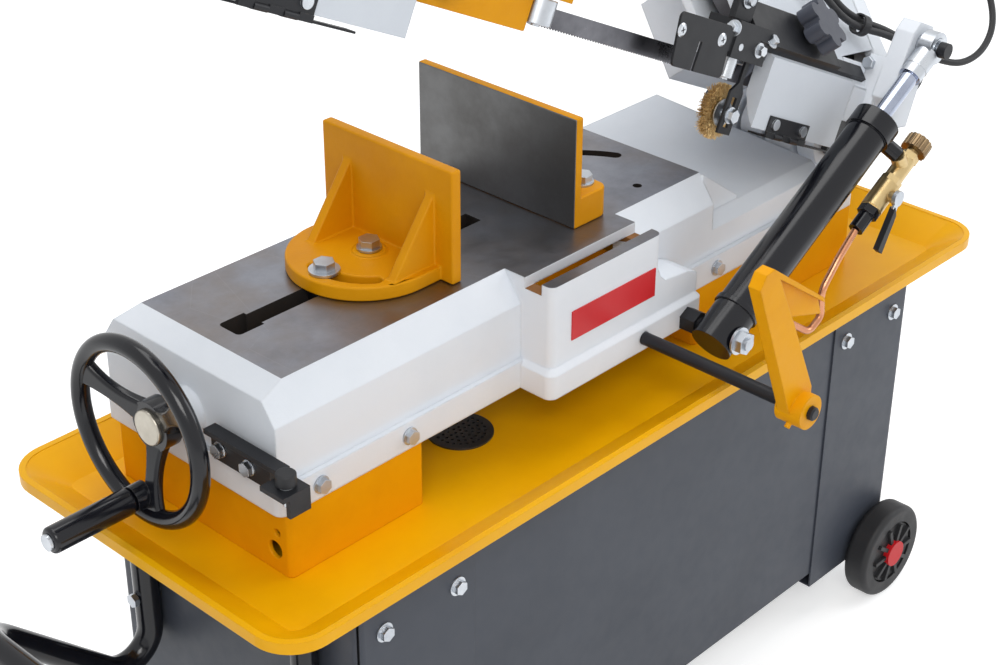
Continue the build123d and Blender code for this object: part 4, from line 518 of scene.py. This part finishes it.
band_steel = metal("band_steel", colour(112, 112, 117), colour(88, 88, 93),
                   low=0.26, high=0.44, along=10.0, across=900.0, depth=0.15)
print("metals", len(bpy.data.materials))


# %% [markdown]
# The milled table is the face that the customer sees first: cutter lines run along it, oil leaves
# brown clouds, and sliding work pieces leave thin scratches in all directions. The scratches are
# the borders between the cells of a Voronoi texture, cut down to a thin line.

# %% Milled table
SCRATCH_CELLS = 9.0
SCRATCH_WIDTH = 0.004
SCRATCH_SHARE = 0.35
MILLED_DEPTH = 0.25


def milled(name):
    made = Finish(name, METAL_EDGE, metallic=1.0)
    marks = made.group(tool_marks, Along=14.0, Across=650.0)
    drift = made.group(tone_drift, Cloud=7.0)
    steel = made.mix(marks.outputs["Smear"], colour(140, 142, 150), colour(124, 125, 132))
    oiled = made.mix(drift.outputs["Drift"], steel, colour(128, 117, 108))
    scratch = made.node("ShaderNodeTexVoronoi", feature="DISTANCE_TO_EDGE", Scale=SCRATCH_CELLS)
    made.link(made.place, scratch.inputs["Vector"])
    thin = made.span(scratch.outputs["Distance"], SCRATCH_WIDTH, 0.0, 0.0, SCRATCH_SHARE)
    made.link(made.mix(thin, oiled, colour(150, 150, 152)), made.shader.inputs["Base Color"])
    rough = made.span(marks.outputs["Smear"], 0.0, 1.0, 0.3, 0.46)
    made.link(rough, made.shader.inputs["Roughness"])
    made.bump(marks.outputs["Line"], MILLED_DEPTH, MARK_HEIGHT)
    return made


table_steel = milled("table_steel")
raw_iron = paint("raw_iron", colour(150, 104, 58), colour(112, 72, 38), colour(160, 120, 80),
                 gloss=0.6, pebble=300.0, depth=0.6, shine=0.2)
# Bare iron darkened well below its own tone: painted shade for the inside of the table's slots.
slot_iron_painted_shade = paint("slot_iron_painted_shade", colour(44, 40, 38), colour(30, 28, 27), colour(70, 64, 60),
                  gloss=0.6, pebble=300.0, depth=0.6, shine=0.2)

# %% [markdown]
# Each node of the frame now takes its finish by name.

# %% Finishes on the frame
finishes = {
    cabinet_grey: ["stand_legs", "stand_panels"],
    rubber: ["stand_feet", "transport_wheel_front", "transport_wheel_rear"],
    zinc: ["frame_bolts", "wheel_axle", "fixed_jaw_bolts", "vise_bolts", "guide_bearings_left",
           "drive_shaft", "vise_screw"],
    black_gloss: ["lift_handle", "handwheel", "cylinder_body", "crank_grip"],
    black_satin: ["stop_bracket", "cover_hinges", "guide_bracket_right", "brush_bracket",
                  "cylinder_stud", "stop_rod", "valve_lever"],
    black_plastic: ["coolant_unit", "coolant_nozzle", "control_box", "conduits", "cord_glands",
                    "tension_knob", "guide_knob_left", "guide_knob_right"],
    sheet_yellow: ["tray"],
    cast_yellow: ["risers", "stop_arm"],
    jaw_yellow: ["fixed_jaw", "movable_jaw", "guide_arm_left"],
    cast_white: ["bed", "bow_frame", "gearbox", "motor"],
    sheet_white: ["cover_right", "cover_left"],
    dark_steel: ["strainer", "pivot_shaft", "vise_carriage", "drive_wheel", "worm_rotor",
                 "tension_slide", "idler_wheel"],
    band_steel: ["saw_band"],
    chrome: ["cylinder_rod"],
    brass: ["valve_body"],
    knob_brass: ["valve_knob"],
    copper: ["copper_pipe"],
    wire_gold: ["wire_brush"],
    red_plate: ["label_plate"],
    red_plastic: ["stop_button"],
    green_plastic: ["start_button"],
}
for finish, names in finishes.items():
    for name in names:
        nodes[name].data.materials.clear()
        nodes[name].data.materials.append(finish.mat)
motor_cord.data.materials.append(rubber.mat)
switch_cord.data.materials.append(rubber.mat)
print("finished nodes", sum(len(names) for names in finishes.values()), "of", len(nodes))

# %% [markdown]
# Some nodes hold more than one finish: a casting has milled faces, a bracket carries plated screws.
# A second material on the same mesh is given face by face. The places are in millimetres on the
# bed, as on a drawing; pieces of the bow are drawn with the bow lowered, so their faces are turned
# back by the bow's angle first. Screws are found by their axis: a place in two of the directions.

# %% Second finishes
BOW_ANGLE = math.radians(25.5)
BOW_PIVOT = Vector((426.0, 0.0, 562.0))
DAMPER_FOOT = Vector((87.0, -168.0, 489.0))
DAMPER_RISE = (0.858, 0.513)
PORT_START = 260.0
PORT_END = 44.0
EYE_START = 371.0
TABLE_TOP = 601.0
BUMPER_XY = (-456, -112)
BUMPER_START = 540.3
HUB_XZ = (457, 24)
MIDDLE_Y = 26.5
EYE_BOLT_XZ = (445, 703)
LEVER_SCREW_XZ = (334, 571)
BRUSH_SCREW_XZ = (128, 565.5)
PLATE_FRONT = -122.05
HINGE_FRONT = -124.05
HINGE_TOP = 562


def on_bed(point):
    return (point - DATUM) * 1000.0


def lowered(point):
    arm = on_bed(point) - BOW_PIVOT
    return BOW_PIVOT + Matrix.Rotation(-BOW_ANGLE, 3, "Y") @ arm


def raised(x, y, z):
    arm = Vector((x, y, z)) - BOW_PIVOT
    return (BOW_PIVOT + Matrix.Rotation(BOW_ANGLE, 3, "Y") @ arm) / 1000.0 + DATUM


def second_finish(name, finish, chosen, place=on_bed):
    mesh = nodes[name].data
    mesh.materials.append(finish.mat)
    slot = len(mesh.materials) - 1
    count = 0
    for face in mesh.polygons:
        if chosen(place(face.center), face.normal):
            face.material_index = slot
            count += 1
    print("second finish", name, finish.mat.name, count)


def near(u, v, axis, reach):
    return math.hypot(u - axis[0], v - axis[1]) < reach


def along_damper(p):
    return (p.x - DAMPER_FOOT.x) * DAMPER_RISE[0] + (p.z - DAMPER_FOOT.z) * DAMPER_RISE[1]


def port_reach(p):
    # how far a point stands off the damper's axis, for points near its upper port
    off = (p.z - DAMPER_FOOT.z) * DAMPER_RISE[0] - (p.x - DAMPER_FOOT.x) * DAMPER_RISE[1]
    return math.hypot(off, p.y - DAMPER_FOOT.y) if along_damper(p) > PORT_START else 0.0


def within(p, x_span, y_span, z_span):
    return all(low < v < high for v, (low, high) in zip(p, (x_span, y_span, z_span)))


second_finish("bed", table_steel, lambda p, n: n.z > 0.9 and p.z > TABLE_TOP)
# Inside the table's slots: partly bare iron, partly painted shade for the recess.
second_finish("bed", slot_iron_painted_shade, lambda p, n: within(p, (-405, 184), (-52, 143), (560, 601.2)))
second_finish("bed", raw_iron, lambda p, n: within(p, (-119, 45), (-104, -82), (560, TABLE_TOP)))
second_finish("fixed_jaw", jaw_steel, lambda p, n: n.x < -0.9 and p.x < -9.0)
jaw_front = on_bed(Vector(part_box("movable_jaw")[1])).x
second_finish("movable_jaw", jaw_steel, lambda p, n: n.x > 0.9 and p.x > jaw_front - 0.6)
second_finish("stop_bracket", zinc,
              lambda p, n: near(p.x, p.y, BUMPER_XY, 9.6) and 518.2 < p.z < BUMPER_START and abs(n.z) < 0.7)
second_finish("stop_bracket", rubber, lambda p, n: near(p.x, p.y, BUMPER_XY, 9.8) and p.z > BUMPER_START)
for wheel in ("transport_wheel_front", "transport_wheel_rear"):
    second_finish(wheel, red_plastic,
                  lambda p, n: near(p.x, p.z, HUB_XZ, 17.3) and abs(p.y - MIDDLE_Y) > 208)
second_finish("handwheel", zinc, lambda p, n: p.x < -596.9)
second_finish("vise_screw", brushed_cap, lambda p, n: p.x < -481.9)
second_finish("cylinder_rod", zinc, lambda p, n: along_damper(p) > EYE_START)
second_finish("cylinder_rod", black_satin, lambda p, n: near(p.x, p.z, EYE_BOLT_XZ, 11.8) and p.y < -181.4)
second_finish("cylinder_body", brass, lambda p, n: port_reach(p) > PORT_END)
second_finish("cylinder_stud", zinc, lambda p, n: p.y < -190)
second_finish("valve_lever", zinc, lambda p, n: near(p.x, p.z, LEVER_SCREW_XZ, 13))
second_finish("guide_bracket_right", zinc, lambda p, n: 94 < p.x < 114 and p.z < 625, lowered)
second_finish("guide_bracket_right", zinc, lambda p, n: p.y < PLATE_FRONT and p.x < 72, lowered)
second_finish("brush_bracket", zinc,
              lambda p, n: near(p.x, p.z, BRUSH_SCREW_XZ, 15.2) and not -109.1 < p.y < -105.9, lowered)
second_finish("cover_left", black_satin, lambda p, n: p.y < PLATE_FRONT and p.z < 578, lowered)
second_finish("cover_left", zinc, lambda p, n: p.y < HINGE_FRONT and p.z > HINGE_TOP, lowered)
second_finish("cover_hinges", zinc,
              lambda p, n: p.y < HINGE_FRONT and p.z > HINGE_TOP and p.x > 180, lowered)

# %% [markdown]
# The edges of castings are round, because sand and paint can't hold a sharp corner. Three modifiers
# make that on the frame's triangles: Weld joins the corners that the file keeps apart, Decimate
# dissolves the lines inside each flat face, and Bevel rounds the edges that are left. A Weighted
# Normal modifier then keeps the flats flat in the shading. A bevel that is too wide for its edge
# grows spikes, so only three castings are rounded like this. At the foot of the movable jaw's front
# rib two bevels still overlap and leave a thin dark gap.

# %% Rounded castings
ROUNDING = {
    "fixed_jaw": 0.0022,
    "movable_jaw": 0.0022,
    "risers": 0.001,
}
WELD_GAP = 0.00002
FLAT_ANGLE = math.radians(1.0)
SHARP_ANGLE = math.radians(35.0)


def round_edges(name, width):
    casting = nodes[name]
    weld = casting.modifiers.new("weld", "WELD")
    weld.merge_threshold = WELD_GAP
    flats = casting.modifiers.new("flats", "DECIMATE")
    flats.decimate_type = "DISSOLVE"
    flats.angle_limit = FLAT_ANGLE
    flats.delimit = {"MATERIAL"}
    edges = casting.modifiers.new("edges", "BEVEL")
    edges.width = width
    edges.segments = 2
    edges.limit_method = "ANGLE"
    edges.angle_limit = SHARP_ANGLE
    edges.use_clamp_overlap = False
    edges.material = -1
    shade = casting.modifiers.new("shade", "WEIGHTED_NORMAL")
    shade.keep_sharp = False
    made = casting.evaluated_get(bpy.context.evaluated_depsgraph_get()).data
    print("rounded", name, len(casting.data.polygons), "to", len(made.polygons), "faces")


for name, width in ROUNDING.items():
    round_edges(name, width)

# %% [markdown]
# Every new piece ends in the same way: its mesh becomes an object at the origin, takes a finish,
# and rides on the body that moves it.

# %% Piece helper
def piece(name, bm, finish, body):
    mesh = bpy.data.meshes.new(name)
    bm.to_mesh(mesh)
    bm.free()
    made = bpy.data.objects.new(name, mesh)
    bpy.context.collection.objects.link(made)
    mesh.materials.append(finish.mat)
    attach(made, body)
    print("piece", name, len(mesh.polygons), "faces")
    return made


# %% [markdown]
# The wire brush turns against the band's teeth. Its wires are crimped, so they stand in a dense
# curly ring. One short wavy wire is made from a triangle that is extruded step by step; it is then
# set many times round the hub, each with its own lean. The random numbers have a fixed seed, so the
# brush is the same in every run.

# %% Wire brush
WIRE_STEPS = 5
WIRE_COUNT = 1300
WIRE_RADIUS = 0.00033
WIRE_SWAY = 0.0011
WIRE_ASIDE = 0.62
WIRE_TILT = 0.2
WIRE_LEAN = 0.22
WIRE_TWIST = 6.28
WIRE_LENGTHS = (0.84, 0.97)
ROOT_SHARE = 0.42
HUB_SIDES = 48
HUB_OVER_ROOT = 1.06
HUB_DEPTH = 1.1
BRUSH_SEED = 11
low_corner, high_corner = (Vector(corner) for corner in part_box("wire_brush"))
brush_centre = (low_corner + high_corner) / 2
brush_reach = (high_corner.z - low_corner.z) / 2
brush_half = (high_corner.y - low_corner.y) / 2
wire_root = brush_reach * ROOT_SHARE


def crimped_wire(length, thick, sway):
    wire = bmesh.new()
    ring = bmesh.ops.create_circle(wire, cap_ends=True, segments=3, radius=thick)["verts"]
    face = ring[0].link_faces[0]
    for step in range(WIRE_STEPS):
        grown = bmesh.ops.extrude_discrete_faces(wire, faces=[face])
        face = grown["faces"][0]
        side = sway if step % 2 else -sway
        bmesh.ops.translate(wire, verts=face.verts, vec=(side, 0.0, length / WIRE_STEPS))
    bmesh.ops.recalc_face_normals(wire, faces=wire.faces)
    made = bpy.data.meshes.new("wire")
    wire.to_mesh(made)
    wire.free()
    return made


chance = random.Random(BRUSH_SEED)
one_wire = crimped_wire(brush_reach - wire_root, WIRE_RADIUS, WIRE_SWAY)
bm = bmesh.new()
for k in range(WIRE_COUNT):
    first = len(bm.verts)
    bm.from_mesh(one_wire)
    bm.verts.ensure_lookup_table()
    aside = chance.uniform(-WIRE_ASIDE, WIRE_ASIDE) * brush_half
    spot = Matrix.Translation(brush_centre + Vector((0.0, aside, 0.0)))
    around = Matrix.Rotation(2 * math.pi * k / WIRE_COUNT, 4, "Y")
    out_to_root = Matrix.Translation((0.0, 0.0, wire_root))
    tilt = Matrix.Rotation(chance.uniform(-WIRE_TILT, WIRE_TILT), 4, "X")
    lean = Matrix.Rotation(chance.uniform(-WIRE_LEAN, WIRE_LEAN), 4, "Y")
    twist = Matrix.Rotation(chance.uniform(0.0, WIRE_TWIST), 4, "Z")
    length = Matrix.Scale(chance.uniform(*WIRE_LENGTHS), 4, (0.0, 0.0, 1.0))
    wire_place = spot @ around @ out_to_root @ (tilt @ lean) @ twist @ length
    bmesh.ops.transform(bm, matrix=wire_place, verts=bm.verts[first:])
hub_radius = wire_root * HUB_OVER_ROOT
hub_place = Matrix.Translation(brush_centre) @ Matrix.Rotation(math.pi / 2, 4, "X")
bmesh.ops.create_cone(bm, cap_ends=True, segments=HUB_SIDES, radius1=hub_radius, radius2=hub_radius,
                      depth=brush_half * HUB_DEPTH, matrix=hub_place)
brush = piece("brush_wires", bm, wire_gold, "brush")
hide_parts("wire_brush")

# %% [markdown]
# Small screws tell the size of a machine. A hex head is a six sided cone of equal radii with its top
# edge bevelled, on a thin washer; a round head has more sides; a cross recess is two thin dark bars
# laid on the head, painted shade for the hollow. Each is made at the origin, along Z, and then turned
# to the face that it sits on. Screws of one body and one finish share a mesh.

# %% Small screws
WASHER_SIDES = 28
WASHER_HEIGHT = 0.0014
WASHER_EDGE = 0.0003
HEX_EDGE = 0.06
ROUND_SIDES = 24
ROUND_EDGE = 0.45
RECESS_HEIGHT = 0.0003


class Screws:
    def __init__(self, name, finish, body, slot):
        self.name, self.finish, self.body, self.slot = name, finish, body, slot
        self.bm = bmesh.new()
        self.carrier = bpy.data.meshes.new("one_screw")

    def add(self, make, place, axis):
        one = bmesh.new()
        make(one)
        turn = axis.to_track_quat("Z", "Y").to_matrix().to_4x4()
        bmesh.ops.transform(one, matrix=Matrix.Translation(place) @ turn, verts=one.verts)
        one.to_mesh(self.carrier)
        one.free()
        self.bm.from_mesh(self.carrier)

    def done(self):
        bmesh.ops.recalc_face_normals(self.bm, faces=self.bm.faces)
        piece(self.name, self.bm, self.finish, self.body)


def disc(bm, sides, radius, bottom, height):
    lift = Matrix.Translation((0.0, 0.0, bottom + height / 2))
    made = bmesh.ops.create_cone(bm, cap_ends=True, segments=sides, radius1=radius, radius2=radius,
                                 depth=height, matrix=lift)
    return made["verts"]


def soften(bm, verts, top, amount):
    ring = {e for v in verts for e in v.link_edges if all(w.co.z > top - 1e-5 for w in e.verts)}
    bmesh.ops.bevel(bm, geom=list(ring), offset=amount, affect="EDGES", segments=2, profile=0.5, material=-1)


def hex_head(flats, height, washer=0.0):
    def make(bm):
        base = 0.0
        if washer:
            ring = disc(bm, WASHER_SIDES, washer, 0.0, WASHER_HEIGHT)
            soften(bm, ring, WASHER_HEIGHT, WASHER_EDGE)
            base = WASHER_HEIGHT
        head = disc(bm, 6, flats / math.sqrt(3.0), base, height)
        soften(bm, head, base + height, flats * HEX_EDGE)
    return make


def round_head(radius, height):
    def make(bm):
        soften(bm, disc(bm, ROUND_SIDES, radius, 0.0, height), height, height * ROUND_EDGE)
    return make


def cross_mark(length, width):
    def make(bm):
        for size in ((length, width), (width, length)):
            bmesh.ops.create_cube(bm, size=1.0, matrix=Matrix.Diagonal((*size, RECESS_HEIGHT, 1.0)))
    return make


def bow_axis(x, y, z):
    return Matrix.Rotation(BOW_ANGLE, 3, "Y") @ Vector((x, y, z))


FRONT = bow_axis(0.0, -1.0, 0.0)
LEFT = bow_axis(-1.0, 0.0, 0.0)
SLOPE = bow_axis(0.0, -0.7071, 0.7071)
bow_screws = Screws("bow_screws", zinc, "bow", "zinc")
for head, place, axis in (
    (hex_head(0.010, 0.006, 0.0085), (72.0, -118.2, 650.5), LEFT),
    (round_head(0.0038, 0.0008), (85.0, -124.0, 634.5), FRONT),
    (hex_head(0.0095, 0.006, 0.008), (118.5, -124.0, 637.0), FRONT),
    (hex_head(0.0095, 0.006, 0.008), (137.9, -122.42, 648.79), SLOPE),
    (hex_head(0.013, 0.006), (358.4, -114.6, 660.2), LEFT),
):
    bow_screws.add(head, raised(*place), axis)
bow_screws.done()
# Two thin dark steel bars on each head: painted shade for the inside of its cross recess.
recess_shade = Screws("cross_recess_shade", dark_steel, "bow", "dark_steel")
for x, z in ((-19.0, 633.6), (52.0, 636.0)):
    recess_shade.add(cross_mark(0.006, 0.0013), raised(x, -123.4, z), FRONT)
recess_shade.done()

# %% [markdown]
# Two more pieces belong to the bow. An upright plate stands on the right guide's hood; it is a cube
# with its upper edges bevelled. A rubber clip holds the two cords together; it is the outline of a
# small rectangle that is spun round the cords.

# %% Upright plate and cord clip
UPRIGHT_SIZE = (0.033, 0.008, 0.042)
UPRIGHT_CORNER = 0.012
UPRIGHT_EDGE = 0.001
OUTLINE_ANGLE = 1.2
bm = bmesh.new()
bmesh.ops.create_cube(bm, size=1.0, matrix=Matrix.Diagonal((*UPRIGHT_SIZE, 1.0)))
top_edges = [e for e in bm.edges if all(v.co.z > 0 for v in e.verts)]
upper = [e for e in top_edges if e.verts[0].co.x * e.verts[1].co.x > 0]
bmesh.ops.bevel(bm, geom=upper, offset=UPRIGHT_CORNER, affect="EDGES", segments=6, profile=0.5, material=-1)
outline = [e for e in bm.edges if e.calc_face_angle(0.0) > OUTLINE_ANGLE]
bmesh.ops.bevel(bm, geom=outline, offset=UPRIGHT_EDGE, affect="EDGES", segments=2, profile=0.5, material=-1)
stand_up = Matrix.Translation(raised(100.5, -102.0, 681.0)) @ Matrix.Rotation(BOW_ANGLE, 4, "Y")
bmesh.ops.transform(bm, matrix=stand_up, verts=bm.verts)
bmesh.ops.recalc_face_normals(bm, faces=bm.faces)
piece("guide_upright", bm, black_satin, "bow")
upright_screw = Screws("upright_screw", zinc, "bow", "zinc")
upright_screw.add(round_head(0.0095, 0.0016), raised(99.0, -106.0, 682.0), FRONT)
upright_screw.add(round_head(0.0062, 0.006), raised(99.0, -107.6, 682.0), FRONT)
upright_screw.done()

CLIP_IN = 0.0102
CLIP_OUT = 0.0122
CLIP_LONG = 0.011
CLIP_STEPS = 28
clip_at = (Vector(MOTOR_ROUTE[7]) + Vector(SWITCH_ROUTE[7])) / 2 + DATUM
clip_way = Vector(SWITCH_ROUTE[8]) - Vector(SWITCH_ROUTE[6])
bm = bmesh.new()
flat_box = Matrix.Diagonal(((CLIP_OUT - CLIP_IN) / 2, CLIP_LONG / 2, 1.0, 1.0))
to_side = Matrix.Translation(((CLIP_IN + CLIP_OUT) / 2, 0.0, 0.0)) @ Matrix.Rotation(math.pi / 2, 4, "X")
bmesh.ops.create_grid(bm, x_segments=1, y_segments=1, size=1.0, matrix=to_side @ flat_box)
bmesh.ops.delete(bm, geom=bm.faces[:], context="FACES_ONLY")
bmesh.ops.spin(bm, geom=bm.edges[:], cent=(0.0, 0.0, 0.0), axis=(0.0, 0.0, 1.0), angle=2 * math.pi,
               steps=CLIP_STEPS, use_merge=True)
turn = clip_way.to_track_quat("Z", "Y").to_matrix().to_4x4()
bmesh.ops.transform(bm, matrix=Matrix.Translation(clip_at) @ turn, verts=bm.verts)
bmesh.ops.recalc_face_normals(bm, faces=bm.faces)
piece("cord_clip", bm, rubber, "bow")
